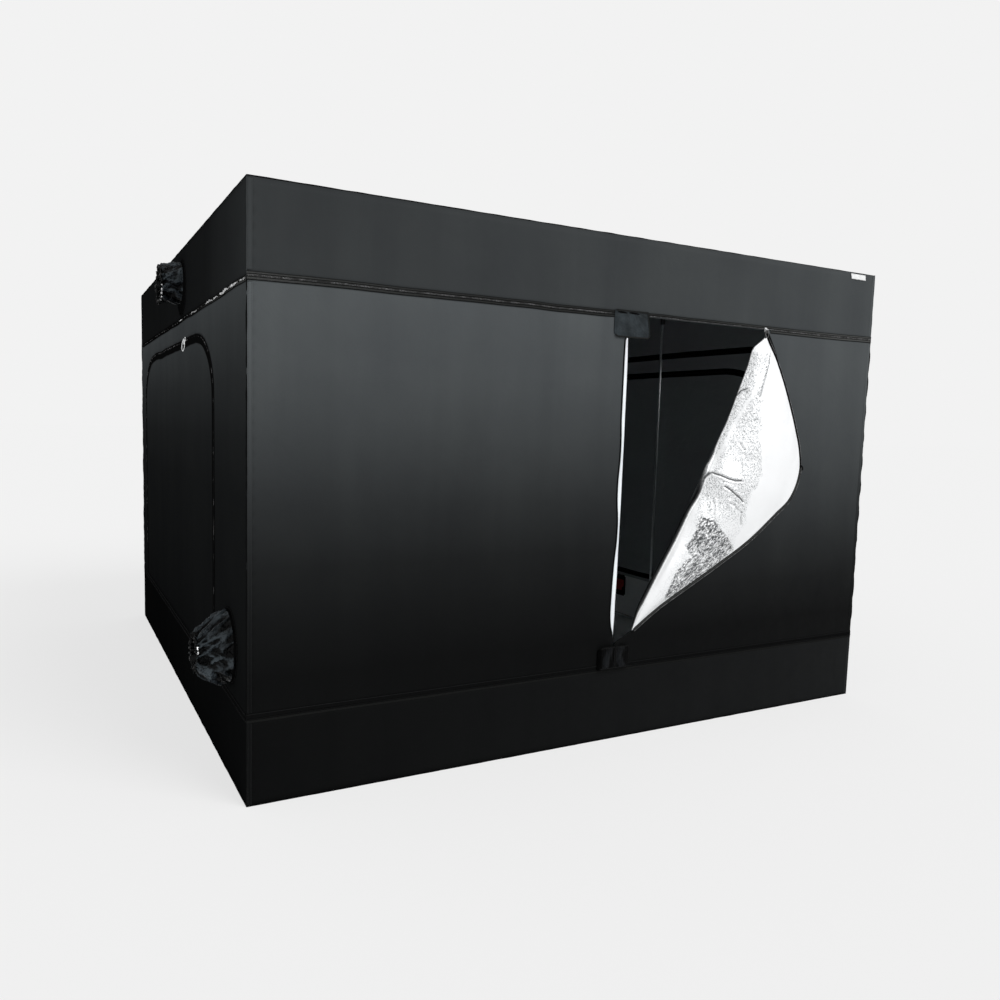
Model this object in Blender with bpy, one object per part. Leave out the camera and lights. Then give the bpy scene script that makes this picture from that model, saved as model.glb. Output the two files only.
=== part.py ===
"""Indoor grow tent: a steel pole frame under a zipped cloth cover.

Metres, +Z up. The origin is on the ground at the middle of the plan, the front with the open
door faces -Y and the side with the duct socks faces -X.
"""
import bmesh
import bpy
from math import cos, exp, pi, radians, sin
from mathutils import Matrix, Vector

# Overall size
WIDTH = 2.90
DEPTH = 2.90
HEIGHT = 2.00

# Clearances and how finely round things are cut
SEAT = 0.0003
OVERRUN = 0.01
ROUND_SIDES = 16
SMALL_SIDES = 12
HOLE_SIDES = 32
ARC_STEPS = 7
SHARP_DEGREES = 35

# Steel poles and the connectors they plug into
TUBE_R = 0.011
TUBE_WALL = 0.0012
SLEEVE_WALL = 0.0022
CORNER_CORE = 0.016
CORNER_REACH = 0.075
TEE_RUN = 0.110
TEE_WEB = 0.0035
TEE_REACH = 0.075

# Light hanging bars, hooked over the side top rails
BAR_PLACE = 0.70
HOOK_WALL = 0.0017
HOOK_WIDTH = 0.024
HOOK_TONGUE = 0.045
BAR_END_GAP = 0.016

# Cover cloth
CLOTH = 0.0012
ZIP_TOP_Z = 1.700
ZIP_LOW_Z = 0.295

# Front doors: the left one is closed, the right one is unzipped and folded back at its corner
MEET_X = 0.016
LEFT_EDGE_X = 0.0295
LEFT_EDGE_START = 0.455
MEET_TOP_Z = 0.400
MEET_STEP = 0.005
LIP_WIDTH = 0.027
LIP_TOP_Z = 1.606
LIP_STAND = 0.0045
LIP_LEAST = 0.002
FOLD_TOP_X = 0.775
FOLD_LOW_X = 0.105
FOLD_LOW_Z = 0.443

# The folded corner of the right door
FOLD_GAP = 0.0015
FLAP_TOP_Z = 1.653
FLAP_TIP_X = 1.022
FLAP_TIP_Z = 1.090
FLAP_TIP_STAND = 0.018
CREASE_STAND = 0.026
CREASE_RISE_SHARE = 0.05
SAIL_STAND = 0.060
OUTER_BOW = 0.040
LOWER_BOW = 0.095
FLAP_FOLDS = 3
FLAP_FOLD_DEPTH = 0.009
FLAP_ROWS = 20

# Side doors, the same in both side walls
DOOR_FRONT_Y = -0.91
DOOR_REAR_Y = 1.24
DOOR_SILL_Z = 0.31
DOOR_TOP_Z = 1.60
DOOR_CORNER_R = 0.30

# Duct socks on the left wall
UPPER_SOCK_Y = -0.165
UPPER_SOCK_Z = 1.830
UPPER_SOCK_R = 0.112
UPPER_MOUTH_R = 0.082
UPPER_SOCK_LENGTH = 0.100
LOWER_SOCK_Y = -1.185
LOWER_SOCK_Z = 0.473
LOWER_SOCK_R = 0.122
LOWER_MOUTH_R = 0.074
LOWER_SOCK_LENGTH = 0.125
SOCK_DROOP = 0.012
SOCK_FLANGE = 0.012
SOCK_RINGS = 7
SOCK_SIDES = 44
SOCK_GATHERS = 11
SOCK_FOLD_SHARE = 0.06
SOCK_SLACK_SHARE = 0.05
SOCK_DRAW_POWER = 1.4

# Cord locks at the sock mouths
LOCK_R = 0.008
LOCK_LENGTH = 0.021
LOCK_BORE_R = 0.0022

# Hook-and-loop tabs over the zip ends
TOP_TAB_LEFT_X = -0.045
TOP_TAB_RIGHT_X = 0.130
TOP_TAB_LOW_Z = 1.615
TOP_TAB_HIGH_Z = 1.720
TAB_CORNER_R = 0.015
TAB_CLOTH = 0.0016
LOW_TAB_WIDTH = 0.078
LOW_TAB_HEIGHT = 0.090
LOW_TAB_STAND = 0.0165
LOW_TAB_PART = 0.002
LOW_TAB_RISE = 0.003

# Zip sliders and their pulls
SLIDER_WIDTH = 0.014
SLIDER_HEIGHT = 0.018
SLIDER_BODY = 0.0055
SLIDER_BEVEL = 0.001
PIN_R = 0.0011
PIN_STAND = 0.0098
PIN_POST = 0.0022
PULL_BARREL_WALL = 0.0011
PULL_BARREL = 0.0060
PULL_WIDTH = 0.0085
PULL_LENGTH = 0.036
PULL_THICK = 0.0016
PULL_HOLE_R = 0.0021
TOP_SLIDER_X = 0.762
CENTRE_SLIDER_Z = 0.345
SIDE_SLIDER_Y = -0.28

# Vent low in the right wall
VENT_FRONT_Y = 0.28
VENT_WIDTH = 0.30
VENT_LOW_Z = 0.15
VENT_HEIGHT = 0.12
VENT_MARGIN = 0.016

# Blank sewn patch at the top right of the front
LABEL_SIDE_GAP = 0.07
LABEL_WIDTH = 0.10
LABEL_TOP_GAP = 0.007
LABEL_HEIGHT = 0.024
LABEL_CLOTH = 0.0008

# What follows from the sizes above
FRONT_Y = -DEPTH / 2
REAR_Y = DEPTH / 2
LEFT_X = -WIDTH / 2
RIGHT_X = WIDTH / 2
BORE_R = TUBE_R + SEAT
SLEEVE_R = BORE_R + SLEEVE_WALL
AXIS_INSET = CLOTH + SEAT + SLEEVE_R
AXIS_X = WIDTH / 2 - AXIS_INSET
AXIS_Y = DEPTH / 2 - AXIS_INSET
AXIS_LOW_Z = AXIS_INSET
AXIS_TOP_Z = HEIGHT - AXIS_INSET
POST_CLEAR = SLEEVE_R + TEE_WEB
WALL_LOW_Z = CLOTH + SEAT
WALL_TOP_Z = HEIGHT - CLOTH - SEAT
SIDE_FRONT_Y = FRONT_Y + CLOTH + SEAT
SIDE_REAR_Y = REAR_Y - CLOTH - SEAT
PULL_BORE_R = PIN_R + SEAT
PULL_BARREL_R = PULL_BORE_R + PULL_BARREL_WALL
FOLD_STAND = SEAT + CLOTH / 2

BLACK_CLOTH = ((0.035, 0.039, 0.042), 0.62, 0.0)
BLACK_NYLON = ((0.020, 0.021, 0.022), 0.45, 0.0)
SILVER_LINING = ((0.82, 0.83, 0.85), 0.32, 0.85)
WHITE_STEEL = ((0.78, 0.79, 0.80), 0.40, 0.1)
GREY_PLASTIC = ((0.10, 0.10, 0.11), 0.50, 0.0)
BRIGHT_METAL = ((0.80, 0.80, 0.82), 0.18, 1.0)
RED_CLOTH = ((0.16, 0.02, 0.02), 0.70, 0.0)
WHITE_PATCH = ((0.85, 0.85, 0.84), 0.60, 0.0)

# Corner names, with their signs in X and Y and the quarter turn that faces a low connector inwards
CORNERS = (
    ("front_left", -1, -1, 0),
    ("front_right", 1, -1, 1),
    ("rear_right", 1, 1, 2),
    ("rear_left", -1, 1, 3),
)

OBJECTS = {}


def clear_scene():
    """Takes away whatever the file opened with."""
    for obj in list(bpy.data.objects):
        bpy.data.objects.remove(obj, do_unlink=True)


def finish_of(name, look):
    """A Principled material with the given colour, roughness and metallic value."""
    colour, roughness, metallic = look
    mat = bpy.data.materials.new(name)
    mat.use_nodes = True
    shader = mat.node_tree.nodes["Principled BSDF"]
    shader.inputs["Base Color"].default_value = (*colour, 1.0)
    shader.inputs["Roughness"].default_value = roughness
    shader.inputs["Metallic"].default_value = metallic
    return mat


def node(name, mesh, look, origin=(0, 0, 0), turn=(0, 0, 0), parent=None):
    """One named sub-part, with its own material and its origin where it is hung or hinged."""
    obj = bpy.data.objects.new(name, mesh)
    bpy.context.collection.objects.link(obj)
    obj.location = origin
    obj.rotation_euler = turn
    if not mesh.materials:
        mesh.materials.append(None)
    obj.material_slots[0].link = "OBJECT"
    obj.material_slots[0].material = finish_of(name, look)
    if parent:
        carrier = OBJECTS[parent]
        obj.parent = carrier
        obj.matrix_parent_inverse = Matrix.Translation(-Vector(carrier.location))
    OBJECTS[name] = obj
    return obj


def mesh_from(bm, name, origin=(0, 0, 0), smooth=False):
    """Turns a bmesh in world places into a mesh about the given origin."""
    bmesh.ops.translate(bm, verts=bm.verts, vec=-Vector(origin))
    bmesh.ops.recalc_face_normals(bm, faces=bm.faces)
    mesh = bpy.data.meshes.new(name)
    bm.to_mesh(mesh)
    bm.free()
    if smooth:
        mesh.shade_smooth()
        mesh.set_sharp_from_angle(angle=radians(SHARP_DEGREES))
    return mesh


def box(low, high):
    """A rectangular block between two corners."""
    bm = bmesh.new()
    bmesh.ops.create_cube(bm, size=1.0)
    size = Vector(high) - Vector(low)
    middle = (Vector(high) + Vector(low)) / 2
    fit = Matrix.Translation(middle) @ Matrix.Diagonal((*size, 1.0))
    bmesh.ops.transform(bm, verts=bm.verts, matrix=fit)
    return bm


def prism(outline, normal, start, end):
    """An outline pushed along X or Y from start to end; its points are in the other two axes."""
    bm = bmesh.new()
    place = {"X": lambda p: (start, p[0], p[1]), "Y": lambda p: (p[0], start, p[1])}[normal]
    face = bm.faces.new([bm.verts.new(place(p)) for p in outline])
    grown = bmesh.ops.extrude_face_region(bm, geom=[face])["geom"]
    push = {"X": (end - start, 0, 0), "Y": (0, end - start, 0)}[normal]
    moved = [v for v in grown if isinstance(v, bmesh.types.BMVert)]
    bmesh.ops.translate(bm, verts=moved, vec=push)
    return bm


def rod(radius, start, end, along, sides=ROUND_SIDES):
    """A solid cylinder along X, Y or Z, from start to end on that axis."""
    bm = bmesh.new()
    length = end - start
    bmesh.ops.create_cone(bm, cap_ends=True, segments=sides, radius1=radius, radius2=radius, depth=length)
    bmesh.ops.translate(bm, verts=bm.verts, vec=(0, 0, start + length / 2))
    if along != "Z":
        spin = Matrix.Rotation(pi / 2, 4, "Y") if along == "X" else Matrix.Rotation(-pi / 2, 4, "X")
        bmesh.ops.transform(bm, verts=bm.verts, matrix=spin)
    return bm


def shifted(bm, offset):
    """The same shape, moved."""
    bmesh.ops.translate(bm, verts=bm.verts, vec=offset)
    return bm


def combined(name, base, joined=(), cut=(), smooth=False):
    """A mesh made of a base with other shapes fused to it and cutters taken out of it."""
    work = bpy.data.objects.new(name + "_work", mesh_from(base, name + "_base"))
    bpy.context.collection.objects.link(work)
    helpers = []
    for step, shapes in (("UNION", joined), ("DIFFERENCE", cut)):
        for shape in shapes:
            helper = bpy.data.objects.new(name + "_helper", mesh_from(shape, name + "_helper"))
            bpy.context.collection.objects.link(helper)
            helper.hide_render = True
            helper.display_type = "WIRE"
            fuse = work.modifiers.new(step.lower(), "BOOLEAN")
            fuse.operation = step
            fuse.solver = "EXACT"
            fuse.object = helper
            helpers.append(helper)
    bpy.context.view_layer.update()
    done = work.evaluated_get(bpy.context.evaluated_depsgraph_get())
    mesh = bpy.data.meshes.new_from_object(done)
    mesh.name = name
    for obj in [work] + helpers:
        bpy.data.objects.remove(obj, do_unlink=True)
    if smooth:
        mesh.shade_smooth()
        mesh.set_sharp_from_angle(angle=radians(SHARP_DEGREES))
    return mesh


def recentred(mesh, origin):
    """Moves a mesh so that its origin is at the given world point."""
    mesh.transform(Matrix.Translation(-Vector(origin)))
    return mesh


def arc(centre_a, centre_b, radius, start, end, steps=ARC_STEPS):
    """Points of a circular arc in a plane, between two angles in quarter turns."""
    turns = [start + (end - start) * i / steps for i in range(steps + 1)]
    return [(centre_a + radius * cos(t * pi / 2), centre_b + radius * sin(t * pi / 2)) for t in turns]


# The frame

def corner_mesh():
    """A three-way connector at its own corner point, with legs along +X, +Y and +Z."""
    legs = [rod(SLEEVE_R, 0, CORNER_REACH, axis) for axis in "YZ"]
    knuckle = bmesh.new()
    bmesh.ops.create_uvsphere(knuckle, u_segments=ROUND_SIDES, v_segments=SMALL_SIDES, radius=SLEEVE_R)
    bores = [rod(BORE_R, CORNER_CORE, CORNER_REACH + OVERRUN, axis) for axis in "XYZ"]
    base = rod(SLEEVE_R, 0, CORNER_REACH, "X")
    return combined("corner_connector", base, joined=[knuckle] + legs, cut=bores, smooth=True)


def add_corners():
    """Eight copies of the connector, each turned so that its legs face into the frame."""
    mesh = corner_mesh()
    for level, z, flip in (("low", AXIS_LOW_Z, 0), ("top", AXIS_TOP_Z, pi)):
        for name, sx, sy, quarter in CORNERS:
            turn = quarter + (1 if flip else 0)
            place = (sx * AXIS_X, sy * AXIS_Y, z)
            node(f"corner_connector_{name}_{level}", mesh, GREY_PLASTIC, place, (flip, 0, turn * pi / 2))


def tube_mesh(name, length, along):
    """A hollow pole with open ends, centred on its origin."""
    half = length / 2
    core = rod(TUBE_R - TUBE_WALL, -half - OVERRUN, half + OVERRUN, along)
    return combined(name, rod(TUBE_R, -half, half, along), cut=[core], smooth=True)


def add_rails():
    """The eight horizontal poles between the corner connectors."""
    plug = CORNER_CORE + SEAT
    across = tube_mesh("rail_across", 2 * (AXIS_X - plug), "X")
    deep = tube_mesh("rail_deep", 2 * (AXIS_Y - plug), "Y")
    for level, z in (("low", AXIS_LOW_Z), ("top", AXIS_TOP_Z)):
        for side, sign in (("front", -1), ("rear", 1)):
            node(f"{side}_{level}_rail", across, WHITE_STEEL, (0, sign * AXIS_Y, z))
        for side, sign in (("left", -1), ("right", 1)):
            node(f"{side}_{level}_rail", deep, WHITE_STEEL, (sign * AXIS_X, 0, z))


def add_posts():
    """Four corner posts, and one post halfway along each side."""
    middle = (AXIS_LOW_Z + AXIS_TOP_Z) / 2
    plug = CORNER_CORE + SEAT
    corner = tube_mesh("corner_post", AXIS_TOP_Z - AXIS_LOW_Z - 2 * plug, "Z")
    for name, sx, sy, _ in CORNERS:
        node(f"{name}_post", corner, WHITE_STEEL, (sx * AXIS_X, sy * AXIS_Y, middle))
    between = tube_mesh("mid_post", AXIS_TOP_Z - AXIS_LOW_Z - 2 * (POST_CLEAR + SEAT), "Z")
    for side, sign in (("left", -1), ("right", 1)):
        node(f"{side}_mid_post", between, WHITE_STEEL, (sign * AXIS_X, 0, middle))


def add_tees():
    """Tee connectors: a sleeve round the side rail and a socket for the middle post."""
    half = TEE_RUN / 2
    sleeve = rod(SLEEVE_R, -half, half, "Y")
    socket = rod(SLEEVE_R, 0, TEE_REACH, "Z")
    rail_bore = rod(BORE_R, -half - OVERRUN, half + OVERRUN, "Y")
    post_bore = rod(BORE_R, POST_CLEAR, TEE_REACH + OVERRUN, "Z")
    mesh = combined("mid_tee", sleeve, joined=[socket], cut=[rail_bore, post_bore], smooth=True)
    for side, sign in (("left", -1), ("right", 1)):
        node(f"{side}_mid_tee_low", mesh, GREY_PLASTIC, (sign * AXIS_X, 0, AXIS_LOW_Z))
        node(f"{side}_mid_tee_top", mesh, GREY_PLASTIC, (sign * AXIS_X, 0, AXIS_TOP_Z), (pi, 0, 0))


def hanging_bar_mesh():
    """A pole across the tent with a hook at each end, about its own middle."""
    reach = AXIS_X - BAR_END_GAP
    hooks = []
    for side in (-1, 1):
        hook = hook_prism(side)
        hooks.append(shifted(hook, (side * AXIS_X, 0, 0)))
    core = rod(TUBE_R - TUBE_WALL, -reach - OVERRUN, reach + OVERRUN, "X")
    tube = combined("bar_tube", rod(TUBE_R, -reach, reach, "X"), cut=[core])
    base = bmesh.new()
    base.from_mesh(tube)
    return combined("hanging_bar", base, joined=hooks, smooth=True)


def hook_prism(side):
    """One hook: a half ring over the rail and a strap that runs onto the bar's upper side."""
    inner = TUBE_R + SEAT
    outer = inner + HOOK_WALL
    strap_low = TUBE_R - TUBE_WALL / 2
    ring = arc(0, 0, outer, 2.0, 1.0) + [(HOOK_TONGUE, outer), (HOOK_TONGUE, strap_low)]
    meet = (inner ** 2 - strap_low ** 2) ** 0.5
    ring += [(meet, strap_low)] + arc(0, 0, inner, 1.0, 2.0)
    points = [(-side * x, z) for x, z in ring]
    return prism(points, "Y", -HOOK_WIDTH / 2, HOOK_WIDTH / 2)


def add_hanging_bars():
    """Two bars for lights and filters, which slide along the side top rails."""
    mesh = hanging_bar_mesh()
    for side, sign in (("front", -1), ("rear", 1)):
        node(f"{side}_hanging_bar", mesh, WHITE_STEEL, (0, sign * BAR_PLACE, AXIS_TOP_Z))


# The cover

def add_roof_and_floor():
    """The roof and the floor, which cover the whole plan."""
    roof = box((LEFT_X, FRONT_Y, HEIGHT - CLOTH), (RIGHT_X, REAR_Y, HEIGHT))
    floor = box((LEFT_X, FRONT_Y, 0), (RIGHT_X, REAR_Y, CLOTH))
    node("roof_panel", mesh_from(roof, "roof_panel"), BLACK_CLOTH)
    node("floor_panel", mesh_from(floor, "floor_panel"), BLACK_CLOTH)


def add_front_bands():
    """The fixed bands above and below the front doors."""
    head = box((LEFT_X, FRONT_Y, ZIP_TOP_Z), (RIGHT_X, FRONT_Y + CLOTH, WALL_TOP_Z))
    base = box((LEFT_X, FRONT_Y, WALL_LOW_Z), (RIGHT_X, FRONT_Y + CLOTH, ZIP_LOW_Z))
    node("front_head_band", mesh_from(head, "front_head_band"), BLACK_CLOTH)
    node("front_base_band", mesh_from(base, "front_base_band"), BLACK_CLOTH)


def add_left_front_door():
    """The closed left door, whose free edge is turned out to show a tapering strip of lining."""
    low = ZIP_LOW_Z + SEAT
    high = ZIP_TOP_Z - SEAT
    closed = MEET_X - SEAT
    outline = [(LEFT_X, low), (closed, low), (closed, MEET_TOP_Z), (LEFT_EDGE_X, LEFT_EDGE_START),
               (LEFT_EDGE_X, high), (LEFT_X, high)]
    panel = prism(outline, "Y", FRONT_Y, FRONT_Y + CLOTH)
    front = FRONT_Y - LIP_STAND - CLOTH
    lip_outline = [(LEFT_EDGE_X, LEFT_EDGE_START), (LEFT_EDGE_X, LIP_TOP_Z),
                   (LEFT_EDGE_X - LIP_WIDTH, LIP_TOP_Z - LIP_WIDTH),
                   (LEFT_EDGE_X - LIP_LEAST, LEFT_EDGE_START)]
    lip = prism(lip_outline, "Y", front, front + CLOTH)
    web = box((LEFT_EDGE_X - CLOTH, front, LEFT_EDGE_START), (LEFT_EDGE_X, FRONT_Y + CLOTH, LIP_TOP_Z))
    mesh = combined("left_front_door", panel, joined=[web, lip])
    hinge = (LEFT_X, FRONT_Y, 0)
    node("left_front_door", recentred(mesh, hinge), BLACK_CLOTH, hinge)


def fold_point(share):
    """A point on the right door's fold line: 0 at its low end, 1 at the top zip."""
    x = FOLD_LOW_X + (FOLD_TOP_X - FOLD_LOW_X) * share
    z = FOLD_LOW_Z + (ZIP_TOP_Z - FOLD_LOW_Z) * share
    return x, z


def fold_across():
    """The direction in the door's plane, square to the fold line, towards the folded cloth."""
    run = FOLD_TOP_X - FOLD_LOW_X
    rise = ZIP_TOP_Z - FOLD_LOW_Z
    length = (run ** 2 + rise ** 2) ** 0.5
    return Vector((rise / length, 0, -run / length))


def add_right_front_door():
    """What is left of the right door behind the folded corner."""
    low = ZIP_LOW_Z + SEAT
    high = ZIP_TOP_Z - SEAT
    closed = MEET_X + SEAT
    across = fold_across()
    low_x = FOLD_LOW_X + FOLD_GAP * across.x
    top_x = FOLD_TOP_X + FOLD_GAP * across.x
    outline = [(closed, low), (RIGHT_X, low), (RIGHT_X, high), (top_x, high), (low_x, FOLD_LOW_Z),
               (closed, MEET_TOP_Z - MEET_STEP)]
    mesh = mesh_from(prism(outline, "Y", FRONT_Y, FRONT_Y + CLOTH), "right_front_door")
    hinge = (RIGHT_X, FRONT_Y, 0)
    node("right_front_door", recentred(mesh, hinge), BLACK_CLOTH, hinge)


def flap_point(along, out):
    """A point of the folded cloth: along the fold line 0 to 1, and out from it 0 to 1."""
    top_share = (FLAP_TOP_Z - FOLD_LOW_Z) / (ZIP_TOP_Z - FOLD_LOW_Z)
    x, z = fold_point(along * top_share)
    across = fold_across()
    start = Vector((x, FRONT_Y - FOLD_STAND, z)) + across * FOLD_GAP
    tip = Vector((FLAP_TIP_X, FRONT_Y - FLAP_TIP_STAND, FLAP_TIP_Z))
    point = start.lerp(tip, out)
    bulge = sin(pi * out)
    outer = Vector((1, 0, 1)).normalized() * OUTER_BOW * bulge * along ** 2
    lower = Vector((1, 0, -1)).normalized() * LOWER_BOW * bulge * (1 - along) ** 2
    crease = CREASE_STAND * (1 - exp(-out / CREASE_RISE_SHARE)) * (1 - out) * sin(pi * (along + 1) / 3)
    sail = SAIL_STAND * bulge * sin(pi * (along + 1) / 3)
    fold = FLAP_FOLD_DEPTH * bulge * sin(FLAP_FOLDS * 2 * pi * along)
    return point + outer + lower + Vector((0, -crease - sail - fold, 0))


def flap_sheet():
    """The folded cloth as a triangular grid of points, one cloth thick."""
    bm = bmesh.new()
    rows = []
    for i in range(FLAP_ROWS + 1):
        out = i / FLAP_ROWS
        count = FLAP_ROWS - i
        rows.append([bm.verts.new(flap_point(j / count if count else 0.5, out)) for j in range(count + 1)])
    for near, far in zip(rows, rows[1:]):
        for j in range(len(far)):
            bm.faces.new((near[j], near[j + 1], far[j]))
        for j in range(len(far) - 1):
            bm.faces.new((near[j + 1], far[j + 1], far[j]))
    return bm


def add_flap():
    """The corner of the right door, folded out over the door with its lining showing."""
    hinge = (FOLD_LOW_X, FRONT_Y - FOLD_STAND, FOLD_LOW_Z)
    mesh = mesh_from(flap_sheet(), "right_door_flap", hinge, smooth=True)
    obj = node("right_door_flap", mesh, SILVER_LINING, hinge, parent="right_front_door")
    thicken(obj)


def thicken(obj):
    """Gives a sheet its cloth thickness, evenly on both sides."""
    layer = obj.modifiers.new("cloth", "SOLIDIFY")
    layer.thickness = CLOTH
    layer.offset = 0
    layer.use_even_offset = False


def door_outline(grow):
    """A side door with round top corners, in Y and Z, grown outwards by a clearance."""
    radius = DOOR_CORNER_R + grow
    front = DOOR_FRONT_Y - grow
    rear = DOOR_REAR_Y + grow
    top = DOOR_TOP_Z + grow
    points = [(front, DOOR_SILL_Z - grow), (rear, DOOR_SILL_Z - grow)]
    points += arc(rear - radius, top - radius, radius, 0, 1)
    points += arc(front + radius, top - radius, radius, 1, 2)
    return points


def side_door(side, sign):
    """A zipped door in a side wall, hinged along its sewn sill."""
    outer = sign * WIDTH / 2
    bm = prism(door_outline(0), "X", outer - sign * CLOTH, outer)
    hinge = (outer, 0, DOOR_SILL_Z)
    node(f"{side}_side_door", mesh_from(bm, f"{side}_side_door", hinge), BLACK_CLOTH, hinge)


def door_cutter(sign):
    """The cutter for a side door's opening."""
    outer = sign * WIDTH / 2
    return prism(door_outline(SEAT), "X", outer - sign * (CLOTH + OVERRUN), outer + sign * OVERRUN)


def sock_cutter(y, z, radius):
    """The cutter for the hole that a duct sock is sewn round."""
    hole = rod(radius, LEFT_X - OVERRUN, LEFT_X + CLOTH + OVERRUN, "X", HOLE_SIDES)
    return shifted(hole, (0, y, z))


def add_left_wall():
    """The left wall in three bands, with its side door and the holes of the duct socks."""
    inner = LEFT_X + CLOTH
    head = box((LEFT_X, SIDE_FRONT_Y, ZIP_TOP_Z + SEAT), (inner, SIDE_REAR_Y, WALL_TOP_Z))
    panel = box((LEFT_X, SIDE_FRONT_Y, ZIP_LOW_Z + SEAT), (inner, SIDE_REAR_Y, ZIP_TOP_Z))
    base = box((LEFT_X, SIDE_FRONT_Y, WALL_LOW_Z), (inner, SIDE_REAR_Y, ZIP_LOW_Z))
    upper = sock_cutter(UPPER_SOCK_Y, UPPER_SOCK_Z, UPPER_SOCK_R)
    lower = sock_cutter(LOWER_SOCK_Y, LOWER_SOCK_Z, LOWER_SOCK_R)
    node("left_head_band", combined("left_head_band", head, cut=[upper]), BLACK_CLOTH)
    node("left_wall_panel", combined("left_wall_panel", panel, cut=[door_cutter(-1), lower]), BLACK_CLOTH)
    node("left_base_band", mesh_from(base, "left_base_band"), BLACK_CLOTH)
    side_door("left", -1)


def vent_block(low_x, high_x, margin):
    """A block over the vent's place in the right wall."""
    return box((low_x, VENT_FRONT_Y - margin, VENT_LOW_Z - margin),
               (high_x, VENT_FRONT_Y + VENT_WIDTH + margin, VENT_LOW_Z + VENT_HEIGHT + margin))


def add_right_wall():
    """The right wall with its side door, and the low vent with its mesh and outer flap."""
    inner = RIGHT_X - CLOTH
    wall = box((inner, SIDE_FRONT_Y, WALL_LOW_Z), (RIGHT_X, SIDE_REAR_Y, WALL_TOP_Z))
    vent = vent_block(inner - OVERRUN, RIGHT_X + OVERRUN, SEAT)
    node("right_wall", combined("right_wall", wall, cut=[door_cutter(1), vent]), BLACK_CLOTH)
    side_door("right", 1)
    net = mesh_from(vent_block(inner, RIGHT_X, 0), "vent_mesh")
    node("vent_mesh", net, BLACK_NYLON)
    face = RIGHT_X + SEAT + CLOTH
    hinge = (face, 0, VENT_LOW_Z + VENT_HEIGHT + VENT_MARGIN)
    cover = vent_block(RIGHT_X + SEAT, face, VENT_MARGIN)
    node("vent_flap", mesh_from(cover, "vent_flap", hinge), RED_CLOTH, hinge)


def add_rear_wall():
    """The plain rear wall."""
    wall = box((LEFT_X, REAR_Y - CLOTH, WALL_LOW_Z), (RIGHT_X, REAR_Y, WALL_TOP_Z))
    node("rear_wall", mesh_from(wall, "rear_wall"), BLACK_CLOTH)


# Duct socks and their cord locks

def sock_radius(share, base_r, mouth_r):
    """How far a sock's cloth is from its centre line: drawn in towards the mouth, then flared."""
    drawn = base_r + (mouth_r - base_r) * share ** SOCK_DRAW_POWER
    slack = base_r * SOCK_SLACK_SHARE * sin(pi * share)
    return drawn + slack


def sock_sheet(y, z, base_r, mouth_r, length):
    """A duct sock as a tube of gathered cloth, sewn on by a flat ring."""
    bm = bmesh.new()
    face_x = LEFT_X - SEAT - CLOTH / 2
    rings = [(0, base_r + SOCK_FLANGE)] + [(i / SOCK_RINGS, None) for i in range(SOCK_RINGS + 1)]
    grid = []
    for share, flat_r in rings:
        ring = []
        for k in range(SOCK_SIDES):
            angle = 2 * pi * k / SOCK_SIDES
            fold = SOCK_FOLD_SHARE * share * cos(SOCK_GATHERS * angle + 2 * share)
            lump = SOCK_FOLD_SHARE * share * sin(pi * share) * cos(3 * angle + 1)
            radius = flat_r or sock_radius(share, base_r, mouth_r) * (1 + fold + lump)
            reach = (length - SEAT - CLOTH / 2) * share
            ring.append(bm.verts.new((face_x - reach, y + radius * cos(angle),
                                      z - SOCK_DROOP * share + radius * sin(angle))))
        grid.append(ring)
    for near, far in zip(grid, grid[1:]):
        for k in range(SOCK_SIDES):
            after = (k + 1) % SOCK_SIDES
            bm.faces.new((near[k], near[after], far[after], far[k]))
    return bm


def cord_lock_mesh():
    """A round cord lock with the cord's bore, its end face at its origin."""
    barrel = rod(LOCK_R, -LOCK_LENGTH, 0, "X", SMALL_SIDES)
    bores = []
    for side in (-1, 1):
        bore = rod(LOCK_BORE_R, -LOCK_LENGTH - OVERRUN, OVERRUN, "X", SMALL_SIDES)
        bores.append(shifted(bore, (0, 0, side * LOCK_R / 2)))
    return combined("cord_lock", barrel, cut=bores, smooth=True)


def add_socks():
    """Both duct socks, each with the cord lock that closes its mouth."""
    lock = cord_lock_mesh()
    for name, y, z, base_r, mouth_r, length in (
            ("upper", UPPER_SOCK_Y, UPPER_SOCK_Z, UPPER_SOCK_R, UPPER_MOUTH_R, UPPER_SOCK_LENGTH),
            ("lower", LOWER_SOCK_Y, LOWER_SOCK_Z, LOWER_SOCK_R, LOWER_MOUTH_R, LOWER_SOCK_LENGTH)):
        mesh = mesh_from(sock_sheet(y, z, base_r, mouth_r, length), f"{name}_duct_sock", smooth=True)
        thicken(node(f"{name}_duct_sock", mesh, BLACK_NYLON))
        end_x = LEFT_X - length - SEAT
        node(f"{name}_cord_lock", lock, GREY_PLASTIC, (end_x, y - mouth_r, z - SOCK_DROOP))


# Tabs, sliders and pulls

def add_top_tab():
    """The hook-and-loop tab over the top of the centre zip, with round lower corners."""
    radius = TAB_CORNER_R
    low = TOP_TAB_LOW_Z
    outline = [(TOP_TAB_LEFT_X, TOP_TAB_HIGH_Z)]
    outline += arc(TOP_TAB_LEFT_X + radius, low + radius, radius, 2, 3)
    outline += arc(TOP_TAB_RIGHT_X - radius, low + radius, radius, 3, 4)
    outline += [(TOP_TAB_RIGHT_X, TOP_TAB_HIGH_Z)]
    front = FRONT_Y - SEAT - TAB_CLOTH
    hinge = (TOP_TAB_LEFT_X, front, 0)
    bm = prism(outline, "Y", front, FRONT_Y - SEAT)
    mesh = mesh_from(bm, "top_tab", hinge)
    node("top_tab", mesh, BLACK_NYLON, hinge, parent="left_front_door")


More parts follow.
